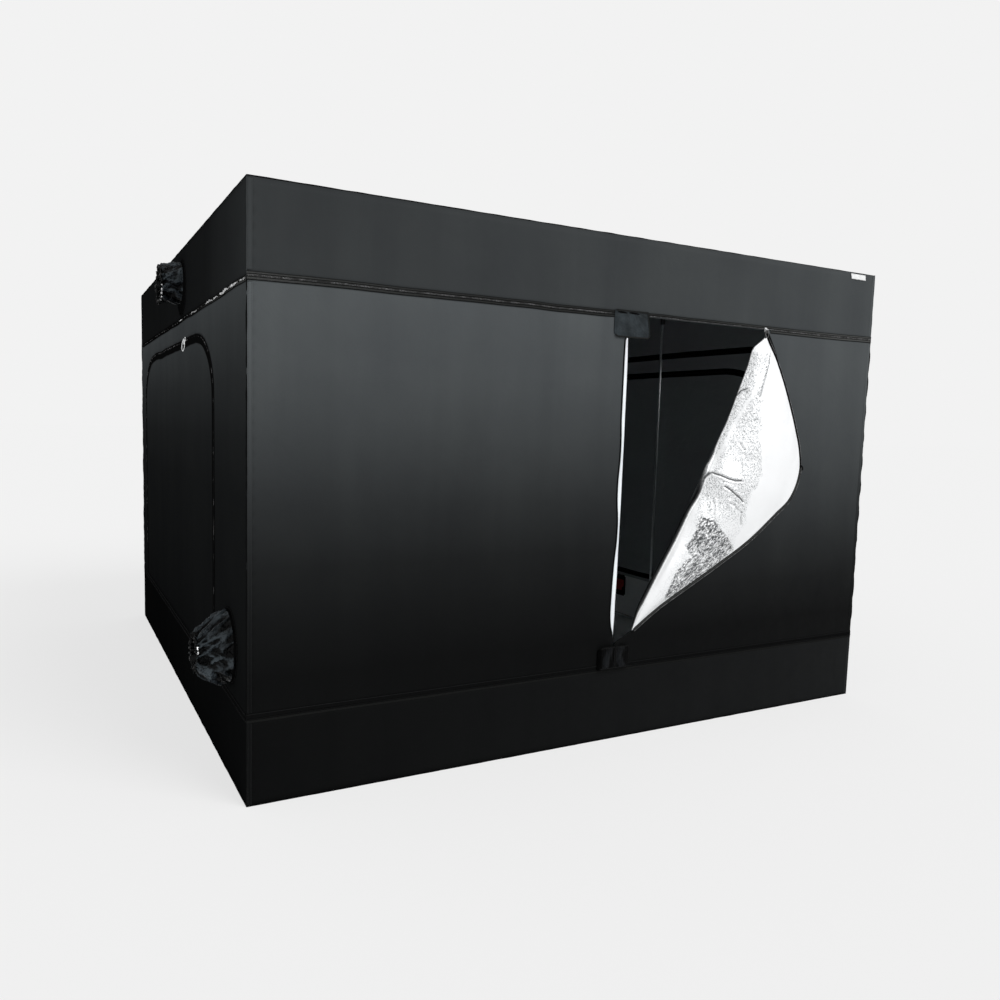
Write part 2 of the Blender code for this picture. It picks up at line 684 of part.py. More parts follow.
def low_tab_mesh(name, sign, hinge):
    """A pocket over half of the zip's low end, open at the back, the top and the middle."""
    near = MEET_X + sign * LOW_TAB_PART / 2
    far = near + sign * LOW_TAB_WIDTH
    low = ZIP_LOW_Z + LOW_TAB_RISE
    high = low + LOW_TAB_HEIGHT
    radius = TAB_CORNER_R
    middle = far - sign * radius
    corner = [(middle + sign * x, z) for x, z in arc(0, high - radius, radius, 0, 1)]
    outline = [(near, low), (far, low)] + corner + [(near, high)]
    back = FRONT_Y - SEAT
    front = back - LOW_TAB_STAND
    shell = prism(outline, "Y", front, back)
    hollow_far = far - sign * TAB_CLOTH
    low_x, high_x = sorted((near - sign * OVERRUN, hollow_far))
    hollow = box((low_x, front + TAB_CLOTH, low + TAB_CLOTH), (high_x, back + OVERRUN, high + OVERRUN))
    return recentred(combined(name, shell, cut=[hollow]), hinge)


def add_low_tabs():
    """The pair of tabs that hide the centre zip's slider."""
    for side, sign, door in (("left", -1, "left_front_door"), ("right", 1, "right_front_door")):
        name = f"{side}_bottom_tab"
        hinge_x = MEET_X + sign * (LOW_TAB_PART / 2 + LOW_TAB_WIDTH)
        hinge = (hinge_x, FRONT_Y - SEAT, 0)
        node(name, low_tab_mesh(name, sign, hinge), BLACK_NYLON, hinge, parent=door)


def slider_mesh():
    """A zip slider that faces -Y, its back on its origin, with the pin for its pull along X."""
    half = SLIDER_WIDTH / 2
    body = box((-half, -SLIDER_BODY, -SLIDER_HEIGHT / 2), (half, 0, SLIDER_HEIGHT / 2))
    bmesh.ops.bevel(body, geom=body.edges[:], offset=SLIDER_BEVEL, segments=1, affect="EDGES")
    reach = half - PIN_POST / 2
    pin = shifted(rod(PIN_R, -reach, reach, "X", SMALL_SIDES), (0, -PIN_STAND, 0))
    posts = []
    for side in (-1, 1):
        x = side * (half - PIN_POST)
        posts.append(box((x - PIN_POST / 2, -PIN_STAND - PIN_POST, -PIN_POST),
                         (x + PIN_POST / 2, -SLIDER_BODY / 2, PIN_POST)))
    return combined("zip_slider", body, joined=posts + [pin])


def pull_mesh():
    """A pull whose barrel turns on the slider's pin, about that pin's axis."""
    half = PULL_BARREL / 2
    thin = PULL_THICK / 2
    barrel = rod(PULL_BARREL_R, -half, half, "X", SMALL_SIDES)
    radius = PULL_WIDTH / 2
    neck = PULL_BARREL / 2
    shoulder = -PULL_LENGTH / 3
    tip = arc(0, radius - PULL_LENGTH, radius, 4, 2)
    outline = [(-neck, 0), (-radius, shoulder)] + tip[::-1] + [(radius, shoulder), (neck, 0)]
    plate = prism(outline, "Y", -thin, thin)
    eye = shifted(rod(PULL_HOLE_R, -OVERRUN, OVERRUN, "Y", SMALL_SIDES), (0, 0, radius - PULL_LENGTH))
    bore = rod(PULL_BORE_R, -half - OVERRUN, half + OVERRUN, "X", SMALL_SIDES)
    return combined("zip_pull", barrel, joined=[plate], cut=[bore, eye])


def add_sliders():
    """A slider and its pull on each zip that shows one."""
    slider = slider_mesh()
    pull = pull_mesh()
    places = (
        ("top_zip", "right_front_door", (TOP_SLIDER_X, FRONT_Y - SEAT, ZIP_TOP_Z), 0),
        ("centre_zip", "left_front_door", (MEET_X - SLIDER_WIDTH / 2, FRONT_Y - SEAT, CENTRE_SLIDER_Z), 0),
        ("left_door_zip", "left_side_door", (LEFT_X - SEAT, SIDE_SLIDER_Y, DOOR_TOP_Z), -1),
        ("right_door_zip", "right_side_door", (RIGHT_X + SEAT, SIDE_SLIDER_Y, DOOR_TOP_Z), 1),
    )
    for name, door, place, quarter in places:
        turn = (0, 0, quarter * pi / 2)
        pin = Vector(place) + Matrix.Rotation(quarter * pi / 2, 3, "Z") @ Vector((0, -PIN_STAND, 0))
        node(f"{name}_slider", slider, BRIGHT_METAL, place, turn, parent=door)
        pull_obj = node(f"{name}_pull", pull, BRIGHT_METAL, pin, turn)
        carry(pull_obj, OBJECTS[f"{name}_slider"], quarter)


def carry(child, slider, quarter):
    """Hangs a pull on its slider without moving it."""
    frame = Matrix.Translation(slider.location) @ Matrix.Rotation(quarter * pi / 2, 4, "Z")
    child.parent = slider
    child.matrix_parent_inverse = frame.inverted()


def add_label():
    """The blank patch sewn on the front head band."""
    back = FRONT_Y - SEAT
    right = RIGHT_X - LABEL_SIDE_GAP
    top = HEIGHT - LABEL_TOP_GAP
    patch = box((right - LABEL_WIDTH, back - LABEL_CLOTH, top - LABEL_HEIGHT), (right, back, top))
    node("blank_label", mesh_from(patch, "blank_label"), WHITE_PATCH)


def build():
    """Models the whole tent."""
    clear_scene()
    add_corners()
    add_rails()
    add_posts()
    add_tees()
    add_hanging_bars()
    add_roof_and_floor()
    add_front_bands()
    add_left_front_door()
    add_right_front_door()
    add_flap()
    add_left_wall()
    add_right_wall()
    add_rear_wall()
    add_socks()
    add_top_tab()
    add_low_tabs()
    add_sliders()
    add_label()


build()
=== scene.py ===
"""The looks of an indoor grow tent: cloth, zips, lining, duct socks and frame finishes.

Metres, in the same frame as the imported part. The front faces -Y and the duct socks face -X.
"""
from math import cos, pi, radians, sin
import bpy
import numpy as np
from mathutils import Matrix, Vector
from mathutils.geometry import delaunay_2d_cdt


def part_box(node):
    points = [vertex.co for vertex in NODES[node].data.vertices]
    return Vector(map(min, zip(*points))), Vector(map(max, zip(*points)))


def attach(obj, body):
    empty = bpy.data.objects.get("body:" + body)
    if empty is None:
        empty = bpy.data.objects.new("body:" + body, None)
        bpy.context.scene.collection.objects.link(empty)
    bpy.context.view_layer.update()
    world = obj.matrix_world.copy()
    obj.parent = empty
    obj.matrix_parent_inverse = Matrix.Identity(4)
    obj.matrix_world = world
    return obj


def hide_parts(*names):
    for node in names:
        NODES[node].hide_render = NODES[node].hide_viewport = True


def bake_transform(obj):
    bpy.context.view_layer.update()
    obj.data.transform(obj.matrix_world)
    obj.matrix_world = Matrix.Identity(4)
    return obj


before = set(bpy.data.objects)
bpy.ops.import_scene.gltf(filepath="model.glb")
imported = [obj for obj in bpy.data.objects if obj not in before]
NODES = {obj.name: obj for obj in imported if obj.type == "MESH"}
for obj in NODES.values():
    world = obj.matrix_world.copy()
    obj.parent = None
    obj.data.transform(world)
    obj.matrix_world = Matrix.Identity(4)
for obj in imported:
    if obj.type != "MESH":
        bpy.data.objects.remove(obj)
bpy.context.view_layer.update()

# Sizes taken from the frame
ROOF_LOW, ROOF_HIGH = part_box("roof_panel")
LEFT, FRONT = ROOF_LOW.x, ROOF_LOW.y
RIGHT, REAR, TOP = ROOF_HIGH
CLOTH = ROOF_HIGH.z - ROOF_LOW.z
ZIP_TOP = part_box("front_head_band")[0].z
ZIP_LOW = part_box("front_base_band")[1].z
WALL_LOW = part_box("front_base_band")[0].z
WALL_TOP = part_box("front_head_band")[1].z
SEAT = 0.0003
PIPING_RADIUS = 0.0024

# Camera
CAMERA_PLACE = (-2.0239, -4.0477, 1.2590)
CAMERA_AZIMUTH = radians(-27.496)
CAMERA_ELEVATION = radians(5.374)
CAMERA_ROLL = radians(1.447)
CAMERA_LENS = 29.506
CAMERA_SHIFT = (0.0344, 0.0022)

# Light
PAPER = (0.888, 0.888, 0.888, 1)
AMBIENT = 0.62
SUN_STRENGTH = 1.9
SUN_FROM = (0.55, -0.90, 0.80)
SUN_SPREAD = radians(35)
FLOOR_SHADOW_SHARE = 0.22
FLOOR_RADIUS = 120.0

# Front doors
MEET_X = 0.016
MEET_TOP_Z = 0.400
LEFT_EDGE_X = 0.0295
FOLD_LOW = Vector((0.105, 0, 0.443))
FOLD_TOP = Vector((0.775, 0, 1.700))

# How far a duct sock's flange reaches past its hole
SOCK_FLANGE = 0.012

# Side doors
DOOR_CORNER = (0.40, 0.25)
DOOR_TOP_DROP = {"left": 0.006, "right": 0.0}


# Small mesh helpers

def make_object(name, verts, faces, mats, mat_index=None):
    """A smoothly shaded mesh object with its materials."""
    mesh = bpy.data.meshes.new(name)
    mesh.from_pydata([tuple(v) for v in verts], [], [tuple(f) for f in faces])
    for mat in mats:
        mesh.materials.append(mat)
    if mat_index is not None:
        mesh.polygons.foreach_set("material_index", mat_index)
    mesh.shade_smooth()
    mesh.validate()
    obj = bpy.data.objects.new(name, mesh)
    bpy.context.collection.objects.link(obj)
    return obj


def thicken(obj, thickness=CLOTH, offset=-1.0):
    """Gives a sheet its cloth thickness, with the second material on its inner side."""
    layer = obj.modifiers.new("cloth", "SOLIDIFY")
    layer.thickness, layer.offset, layer.material_offset = thickness, offset, 1
    return obj


def grid_faces(rows, columns, closed=False):
    """Quads of a grid of points that is stored row by row."""
    faces = []
    last = columns if closed else columns - 1
    for i in range(rows - 1):
        for j in range(last):
            k = (j + 1) % columns
            faces.append((i * columns + j, i * columns + k, (i + 1) * columns + k, (i + 1) * columns + j))
    return faces


def smoothstep(value):
    """0 to 1 with soft ends."""
    t = np.clip(value, 0, 1)
    return t * t * (3 - 2 * t)


def soft_noise(u, v, scale, seed, octaves=3):
    """Seeded soft noise over two lengths, mostly between -1 and 1."""
    rng = np.random.default_rng(seed)
    total = 0.0
    for octave in range(octaves):
        for _ in range(5):
            angle, phase = rng.uniform(0, 2 * pi, 2)
            wave = 2 * pi * 2 ** octave / scale * rng.uniform(0.7, 1.3)
            total = total + np.sin(wave * (u * cos(angle) + v * sin(angle)) + phase) / 2 ** octave
    return total / 3.2


def line_noise(run, scale, seed, octaves=3):
    """Seeded soft noise along one length."""
    return soft_noise(run, run * 0, scale, seed, octaves)


def ridged(value):
    """Noise folded into sharp ridges, from about -1 to 1."""
    return 1 - 2 * np.abs(np.clip(value, -1, 1))


def unit(rows):
    """Rows scaled to length 1."""
    return rows / np.maximum(np.linalg.norm(rows, axis=-1, keepdims=True), 1e-12)


def run_along(path):
    """How far along a path each of its points is."""
    return np.concatenate([[0], np.cumsum(np.linalg.norm(np.diff(path, axis=0), axis=1))])


def evenly(path, pitch, start=None):
    """Points at an even pitch along a path, from half a pitch in or from a given start."""
    path = np.asarray(path, float)
    run = run_along(path)
    at = np.arange(pitch / 2 if start is None else start, run[-1], pitch)
    return np.stack([np.interp(at, run, column) for column in path.T], -1)


def table_mean(table, at, column, reach, count):
    """A column of a table at given places, averaged over a reach on each side."""
    table = np.array(table)
    around = np.asarray(at, float)[..., None] + np.linspace(-reach, reach, count)
    return np.interp(around, table[:, 0], table[:, column]).mean(-1)


# Where a point of a wall lies: two lengths along the wall and one outwards
WALLS = {
    "front": lambda u, v, out: (u, FRONT - out, v),
    "rear": lambda u, v, out: (u, REAR + out, v),
    "left": lambda u, v, out: (LEFT - out, u, v),
    "right": lambda u, v, out: (RIGHT + out, u, v),
    "roof": lambda u, v, out: (u, v, TOP + out),
    "floor": lambda u, v, out: (u, v, -out),
}
OUTWARD = {"front": (0, -1, 0), "rear": (0, 1, 0), "left": (-1, 0, 0), "right": (1, 0, 0),
           "roof": (0, 0, 1), "floor": (0, 0, -1)}


def on_wall(side, u, v, out):
    """Points of a wall as rows of x, y and z."""
    return np.stack(np.broadcast_arrays(*WALLS[side](np.asarray(u, float), np.asarray(v, float), out)), -1)


def resample(points, gap):
    """A closed outline cut into equal steps no longer than gap."""
    done = []
    for a, b in zip(points, points[1:] + points[:1]):
        a, b = np.array(a, float), np.array(b, float)
        steps = max(1, int(np.ceil(np.linalg.norm(b - a) / gap)))
        done += [a + (b - a) * i / steps for i in range(steps)]
    return np.array(done)


def inside(points, loop):
    """Which points lie inside a closed outline."""
    x, y = points[:, 0], points[:, 1]
    found = np.zeros(len(points), bool)
    for (ax, ay), (bx, by) in zip(loop, np.roll(loop, -1, axis=0)):
        if ay == by:
            continue
        crosses = (ay > y) != (by > y)
        found ^= crosses & (x < (bx - ax) * (y - ay) / (by - ay) + ax)
    return found


def nearest(points, line):
    """How far each point is from the nearest part of a line."""
    best = np.full(len(points), 1e9)
    for a, b in zip(line[:-1], line[1:]):
        run = b - a
        t = np.clip(((points - a) @ run) / (run @ run), 0, 1)
        best = np.minimum(best, np.linalg.norm(points - (a + t[:, None] * run), axis=1))
    return best


def edge_distance(points, loops):
    """How far each point is from the nearest outline."""
    return np.min([nearest(points, np.concatenate([loop, loop[:1]])) for loop in loops], axis=0)


def cloth_panel(name, side, outline, mats, holes=(), gap=0.024, relief=None):
    """A wall of cloth inside an outline, with its holes, and gently uneven."""
    rings = [resample(loop, gap) for loop in [outline] + list(holes)]

    def held(points):
        return inside(points, rings[0]) & ~np.any([inside(points, ring) for ring in rings[1:]], axis=0)
    low, high = rings[0].min(0), rings[0].max(0)
    steps = np.maximum(np.round((high - low) / gap).astype(int), 1)
    gx, gy = (np.linspace(low[k], high[k], steps[k] + 1)[1:-1] for k in range(2))
    field = np.array([(x + (gap / 2 if j % 2 else 0), y) for j, y in enumerate(gy) for x in gx]).reshape(-1, 2)
    field = field[held(field)]
    field = field[edge_distance(field, rings) > gap * 0.45]
    edges, start = [], 0
    for ring in rings:
        count = len(ring)
        edges += [(start + i, start + (i + 1) % count) for i in range(count)]
        start += count
    points = [Vector(p) for p in np.concatenate(rings + [field])]
    verts, _, faces, *_ = delaunay_2d_cdt(points, edges, [], 0, 1e-7)
    flat, faces = np.array([tuple(v) for v in verts]), np.array([tuple(f) for f in faces])
    faces = faces[held(flat[faces].mean(1))]
    out = relief(*flat.T, edge_distance(flat, rings)) if relief else 0.0
    place = on_wall(side, *flat.T, out)
    corner = place[faces[0]]
    if np.dot(np.cross(corner[1] - corner[0], corner[2] - corner[0]), OUTWARD[side]) < 0:
        faces = faces[:, ::-1]
    return thicken(make_object(name, place, faces, mats))


def grid_sheet(name, rows, mats, side, thickness=CLOTH, offset=0.0):
    """A sheet from rows of points, turned so that most of its faces look outwards."""
    obj = make_object(name, rows.reshape(-1, 3), grid_faces(*rows.shape[:2]), mats)
    obj.data.update()
    normals = np.empty(len(obj.data.polygons) * 3)
    obj.data.polygons.foreach_get("normal", normals)
    if (normals.reshape(-1, 3) @ np.asarray(OUTWARD[side], float)).sum() < 0:
        obj.data.flip_normals()
    return thicken(obj, thickness, offset)


def rectangle(u0, u1, v0, v1):
    """The outline of a rectangle."""
    return [(u0, v0), (u1, v0), (u1, v1), (u0, v1)]


def arc_points(cu, cv, radius, start, end, steps=14):
    """Points of an arc between two angles in degrees."""
    return [(cu + radius * cos(radians(start + (end - start) * i / steps)),
             cv + radius * sin(radians(start + (end - start) * i / steps))) for i in range(steps + 1)]


# Materials

# The ranges over which tones are given along each axis
RANGES = {"X": (-1.5, 1.5), "Y": (-1.5, 1.5), "Z": (0.0, 1.75)}


class Nodes:
    """A node tree, with short ways to add nodes and join them."""

    def __init__(self, tree):
        self.tree = tree

    def add(self, kind, inputs=None, **settings):
        made = self.tree.nodes.new("ShaderNode" + kind)
        for key, value in settings.items():
            setattr(made, key, value)
        for key, value in (inputs or {}).items():
            self.feed(made.inputs[key], value)
        return made

    def feed(self, socket, value):
        if isinstance(value, bpy.types.NodeSocket):
            self.tree.links.new(value, socket)
        else:
            socket.default_value = value

    def math(self, operation, a, b=0.0):
        return self.add("Math", {0: a, 1: b}, operation=operation).outputs[0]

    def straight_rays(self):
        """1 for rays that show a surface straight, in a reflection or through glass, and 0 for the rest."""
        path = self.add("LightPath").outputs
        value = self.math("MAXIMUM", path["Is Camera Ray"], path["Is Glossy Ray"])
        return self.math("MAXIMUM", value, path["Is Transmission Ray"])


class Finish(Nodes):
    """A node material, whose patterns lie in the object's own frame."""

    def __init__(self, name):
        self.mat = bpy.data.materials.new(name)
        self.mat.use_nodes = True
        super().__init__(self.mat.node_tree)
        self.shader = self.tree.nodes["Principled BSDF"]
        self.place = self.add("TexCoord").outputs["Object"]

    def along(self, axis):
        return self.add("SeparateXYZ", {"Vector": self.place}).outputs[axis]

    def stored(self, name):
        """A number that each point of the mesh holds."""
        return self.add("Attribute", attribute_name=name).outputs["Fac"]

    def scaled(self, scale):
        return self.add("Mapping", {"Vector": self.place, "Scale": scale}).outputs[0]

    def noise(self, scale, detail=3.0, rough=0.5, distortion=0.0, at=None):
        inputs = {"Vector": self.place if at is None else at, "Scale": scale, "Detail": detail, "Roughness": rough,
                  "Distortion": distortion}
        return self.add("TexNoise", inputs).outputs["Fac"]

    def ramp(self, value, stops, smooth=True):
        made = self.add("ValToRGB", {"Fac": value})
        bar = made.color_ramp
        bar.interpolation = "EASE" if smooth and len(stops) < 3 else "B_SPLINE" if smooth else "LINEAR"
        while len(bar.elements) < len(stops):
            bar.elements.new(0.5)
        for element, (at, colour) in zip(bar.elements, stops):
            element.position, element.color = at, (*colour, 1.0)
        return made.outputs["Color"]

    def tones(self, axis, stops):
        """Colours at given places along an axis."""
        low, high = RANGES[axis]
        stops = [((at - low) / (high - low), colour) for at, colour in stops]
        return self.ramp(self.spread(self.along(axis), low, high), stops, smooth=False)

    def cloud(self, size, dark, light, detail=3.0, low=0.3, high=0.7):
        """Two tones that run into each other in soft patches."""
        return self.ramp(self.noise(size, detail), [(low, dark), (high, light)])

    def spread(self, value, low, high, to_low=0.0, to_high=1.0):
        inputs = {"Value": value, "From Min": low, "From Max": high, "To Min": to_low, "To Max": to_high}
        return self.add("MapRange", inputs).outputs["Result"]

    def mix(self, share, a, b, blend="MIX"):
        return self.add("Mix", {0: share, 6: a, 7: b}, data_type="RGBA", blend_type=blend).outputs[2]

    def times(self, a, b):
        return self.mix(1.0, a, b, "MULTIPLY")

    def bump(self, height, strength, distance, normal=None):
        made = self.add("Bump", {"Height": height, "Strength": strength, "Distance": distance})
        if normal is not None:
            self.feed(made.inputs["Normal"], normal)
        return made.outputs["Normal"]

    def weave(self, pitch):
        """Height of a plain weave with the given yarn pitch, a little uneven."""
        inputs = {"Vector": self.place, "Scale": 0.05 / pitch * 6.2832 / 2, "Distortion": 0.6, "Detail": 1.0}
        across, along = (self.add("TexWave", inputs, wave_type="BANDS", bands_direction=axis).outputs["Fac"]
                         for axis in "XZ")
        return self.math("MULTIPLY", across, along)

    def set(self, **values):
        names = {"colour": "Base Color", "specular": "Specular IOR Level"}
        for key, value in values.items():
            self.feed(self.shader.inputs[names.get(key, key.capitalize())], value)
        return self.mat


def linear(tone):
    """One sRGB tone from 0 to 255 as linear light."""
    t = tone / 255
    return t / 12.92 if t <= 0.04045 else ((t + 0.055) / 1.055) ** 2.4


def cool(tone):
    """A near-black grey with the cloth's slight blue cast."""
    return (linear(tone * 0.955), linear(tone * 1.0), linear(tone * 1.02))


def black_cloth(name, stops, axis="Z", gloss=0.02, crease=0.010):
    """Coated black canvas whose tone runs along an axis: painted light and shade, lighter where more light falls."""
    f = Finish(name)
    # Painted light and shade: the tone follows the table of stops along the axis.
    tone = f.tones(axis, [(at, cool(t)) for at, t in stops])
    mottle = f.spread(f.noise(3.2, 4.0, 0.55), 0.3, 0.7)
    tone = f.mix(mottle, f.times(tone, (0.93, 0.93, 0.94, 1)), f.times(tone, (1.06, 1.06, 1.05, 1)))
    drape = f.spread(f.noise(1.0, 3.0, 0.5, 0.4, f.scaled((7, 7, 0.7))), 0.35, 0.7, 0.0, 0.5)
    tone = f.mix(drape, tone, f.times(tone, (0.80, 0.80, 0.81, 1)))
    grain = f.spread(f.noise(420.0, 2.0, 0.6), 0.35, 0.65, 0.0, 0.12)
    tone = f.mix(grain, tone, f.times(tone, (1.5, 1.5, 1.5, 1)))
    normal = f.bump(f.noise(5.0, 5.0, 0.55, 0.8), 0.35, crease)
    normal = f.bump(f.weave(0.0011), 0.25, 0.0003, normal)
    return f.set(colour=tone, roughness=f.spread(f.noise(30.0), 0.3, 0.7, 0.55, 0.68), normal=normal, specular=gloss)


def silver_lining(name, tone, cast, metallic=0.35, rough=0.42, base=None):
    """Embossed reflective lining; where base is given, its base band takes that lighter tone, painted light where more
    light falls low down.
    """
    f = Finish(name)
    dark, light = (tone * 0.93 * cast,) * 2 + (tone * 0.93,), (tone * 0.97 * cast, tone, tone * 1.01)
    colour = f.cloud(2.5, dark, light, 4.0, 0.25, 0.75)
    # Painted light: the band below the base seam is lighter.
    if base:
        colour = f.mix(f.spread(f.along("Z"), ZIP_LOW - 0.014, ZIP_LOW - 0.016), colour,
                       (base * 0.95, base * 0.99, base, 1))
    cells = f.add("TexVoronoi", {"Vector": f.place, "Scale": 260.0}, feature="F1").outputs["Distance"]
    normal = f.bump(f.noise(9.0, 4.0, 0.6, 0.5), 0.5, 0.010)
    normal = f.bump(cells, 0.35, 0.0010, normal)
    return f.set(colour=colour, roughness=rough, metallic=metallic, normal=normal, specular=0.4)


def flap_foil(name):
    """Metallised film that was folded and crumpled: bright where it is smooth; where it is crushed its specks are
    painted reflection and shade, its creases are painted near-black shade, and its fold's roll is painted dark as
    shadow.
    """
    f = Finish(name)
    crush, fold, shadow = (f.stored(word) for word in ("crush", "fold", "shadow"))
    streaks = f.add("Mapping", {"Vector": f.place, "Rotation": (0, radians(-35), 0), "Scale": (2.3, 1, 1)},
                    vector_type="TEXTURE").outputs[0]
    fine, coarse = f.noise(230.0, 2.5, 0.62, 0.3), f.noise(150.0, 3.0, 0.66, 0.5, streaks)
    flakes = f.noise(44.0, 4.0, 0.6, 0.8, streaks)
    specks = f.math("ADD", f.math("MULTIPLY", fine, f.spread(crush, 0.4, 0.9, 1.0, 0.25)),
                    f.math("MULTIPLY", coarse, f.spread(crush, 0.4, 0.9, 0.0, 0.75)))
    depth = f.math("MULTIPLY", crush, f.spread(flakes, 0.36, 0.60, 0.45, 1.15))
    edge = f.spread(depth, 0.0, 1.0, 0.550, 0.43)
    shade = f.spread(f.math("SUBTRACT", specks, edge), -0.02, 0.10)
    shade = f.math("MULTIPLY", shade, f.spread(crush, 0.02, 0.20))
    # Painted shade: the dark tone of the crushed film's specks, darker the more it is crushed.
    speck_shade = f.mix(crush, (0.40, 0.42, 0.43, 1), (0.060, 0.064, 0.068, 1))
    colour = f.mix(shade, (0.88, 0.89, 0.90, 1), speck_shade)
    # Painted shade in the creases, where the stored fold is low.
    crease_shade = f.math("MULTIPLY", f.spread(fold, -0.15, -0.85), 0.93)
    colour = f.mix(crease_shade, colour, (0.035, 0.038, 0.042, 1))
    # Painted shadow on the fold's roll.
    colour = f.mix(f.spread(shadow, 0.0, 1.0), colour, (0.010, 0.011, 0.012, 1))
    normal = f.bump(f.noise(9.0, 4.0, 0.6, 0.5), 0.4, 0.010)
    normal = f.bump(flakes, f.spread(crush, 0.0, 1.0, 0.06, 0.7), 0.006, normal)
    normal = f.bump(specks, f.spread(crush, 0.0, 1.0, 0.03, 0.5), 0.0012, normal)
    rough = f.spread(crush, 0.0, 1.0, 0.42, 0.28)
    return f.set(colour=colour, roughness=rough, metallic=0.35, normal=normal, specular=0.5)


def tape(name, tone, warm=False, along=None):
    """Woven black tape, whose tone may run along an axis."""
    f = Finish(name)
    cast = (0.97, 1.0, 0.975) if warm else (0.97, 1.0, 1.02)
    dark, light = (tuple(linear(tone * share) * c for c in cast) for share in (0.84, 1.18))
    colour = f.ramp(f.noise(260.0, 2.0, at=f.scaled((1, 1, 6))), [(0.3, dark), (0.7, light)])
    if along:
        axis, stops = along
        colour = f.times(colour, f.tones(axis, [(at, (value,) * 3) for at, value in stops]))
    return f.set(colour=colour, roughness=0.75, normal=f.bump(f.weave(0.0016), 0.5, 0.0004), specular=0.0)


def satin_nylon(name, tone, gloss=0.38, specular=0.10, lit=False, creased=0.75, cast=(1.0, 1.0, 1.0)):
    """Thin black nylon with a soft shine and sharp creases painted dark as shade, darker still where the stored fold is
    low, and with painted light where its surface turns up if lit.
    """
    def shade(share):
        return tuple(c * k for c, k in zip(cool(tone * share), cast))
    f = Finish(name)
    cloud = f.noise(14.0, 4.0)
    colour = f.ramp(cloud, [(0.3, shade(0.8)), (0.7, shade(1.3))])
    # Painted shade along thin creases, which the bump also follows.
    crease = f.math("ABSOLUTE", f.math("SUBTRACT", f.noise(19.0, 2.0, 0.5, 1.6), 0.5))
    colour = f.mix(f.spread(crease, 0.030, 0.004, 0.0, creased), colour, (*shade(0.15), 1))
    # Painted light: lighter where the surface faces the light, as the stored turn says.
    if lit:
        light = f.ramp(f.stored("turned"), [(0.25, (0.16, 0.16, 0.17)), (0.55, (0.55, 0.56, 0.58)),
                                            (0.80, (1.5, 1.53, 1.6)), (1.0, (2.2, 2.25, 2.35))])
        colour = f.times(colour, light)
    # Painted shade in hollows, where the stored fold is low.
    colour = f.mix(f.spread(f.stored("fold"), 0.10, -0.34), colour, (*shade(0.10), 1))
    normal = f.bump(f.spread(crease, 0.0, 0.06), 0.66 * creased, 0.004)
    normal = f.bump(f.noise(60.0, 4.0, 0.6, 1.2), 0.4, 0.003, normal)
    normal = f.bump(f.weave(0.0008), 0.3, 0.0002, normal)
    rough = f.spread(cloud, 0.3, 0.7, gloss * 0.85, gloss * 1.15)
    return f.set(colour=colour, roughness=rough, normal=normal, specular=specular)


def plain_metal(name, colour, rough, scratch=120.0, wear_and_shade_share=0.86):
    """Bright plated metal with fine scratches."""
    f = Finish(name)
    marks = f.noise(scratch * 8, at=f.scaled((1, 1, 0.15)))
    value = f.spread(marks, 0.3, 0.7, rough * 0.7, rough * 1.5)
    # Darker patches: real wear on the pulls and sliders; on the zip's lining glimpse, whose share is low, painted shade
    # of crumpled foil.
    tint = f.cloud(scratch, tuple(c * wear_and_shade_share for c in colour), colour, low=0.35)
    return f.set(colour=tint, roughness=value, metallic=1.0, normal=f.bump(marks, 0.08, 0.0002))


def coil_nylon(name, dark, light, low, high, gloss):
    """A dark zip coil with painted glints here and there."""
    f = Finish(name)
    # Painted glints: bright patches of the coil's colour where two noises meet.
    patch = f.spread(f.noise(26.0, 3.0, 0.6), low, high)
    painted_glint = f.spread(f.noise(330.0, 2.0), 0.42, 0.58)
    colour = f.mix(f.math("MULTIPLY", patch, painted_glint), (dark, dark, dark, 1), (light, light, light * 1.02, 1))
    return f.set(colour=colour, roughness=0.45, normal=f.bump(f.noise(900.0, 2.0), 0.3, 0.0003), specular=gloss)


def painted_steel(name, colour):
    """A bright painted pole."""
    f = Finish(name)
    tint = f.cloud(6.0, tuple(c * 0.90 for c in colour), colour, 4.0, high=0.75)
    normal = f.bump(f.noise(900.0, 2.0), 0.15, 0.0003)
    return f.set(colour=tint, roughness=0.17, metallic=0.92, normal=normal, specular=0.5)


def moulded_plastic(name, tone, specular=0.5):
    """Dark moulded plastic with a fine spark-eroded grain."""
    f = Finish(name)
    grain = f.noise(1400.0, 2.0)
    colour = f.cloud(20.0, cool(tone * 0.85), cool(tone * 1.15))
    rough = f.spread(grain, 0.3, 0.7, 0.42, 0.56)
    return f.set(colour=colour, roughness=rough, normal=f.bump(grain, 0.2, 0.0002), specular=specular)


def woven_cloth(name, size, dark, light, pitch, relief, rough):
    """Plain woven cloth, a little uneven in tone: relief is the strength and the height of its weave."""
    f = Finish(name)
    return f.set(colour=f.cloud(size, dark, light), roughness=rough, normal=f.bump(f.weave(pitch), *relief),
                 specular=0.2)


# Tapes, cords, teeth and stitches, gathered into one mesh for each piece

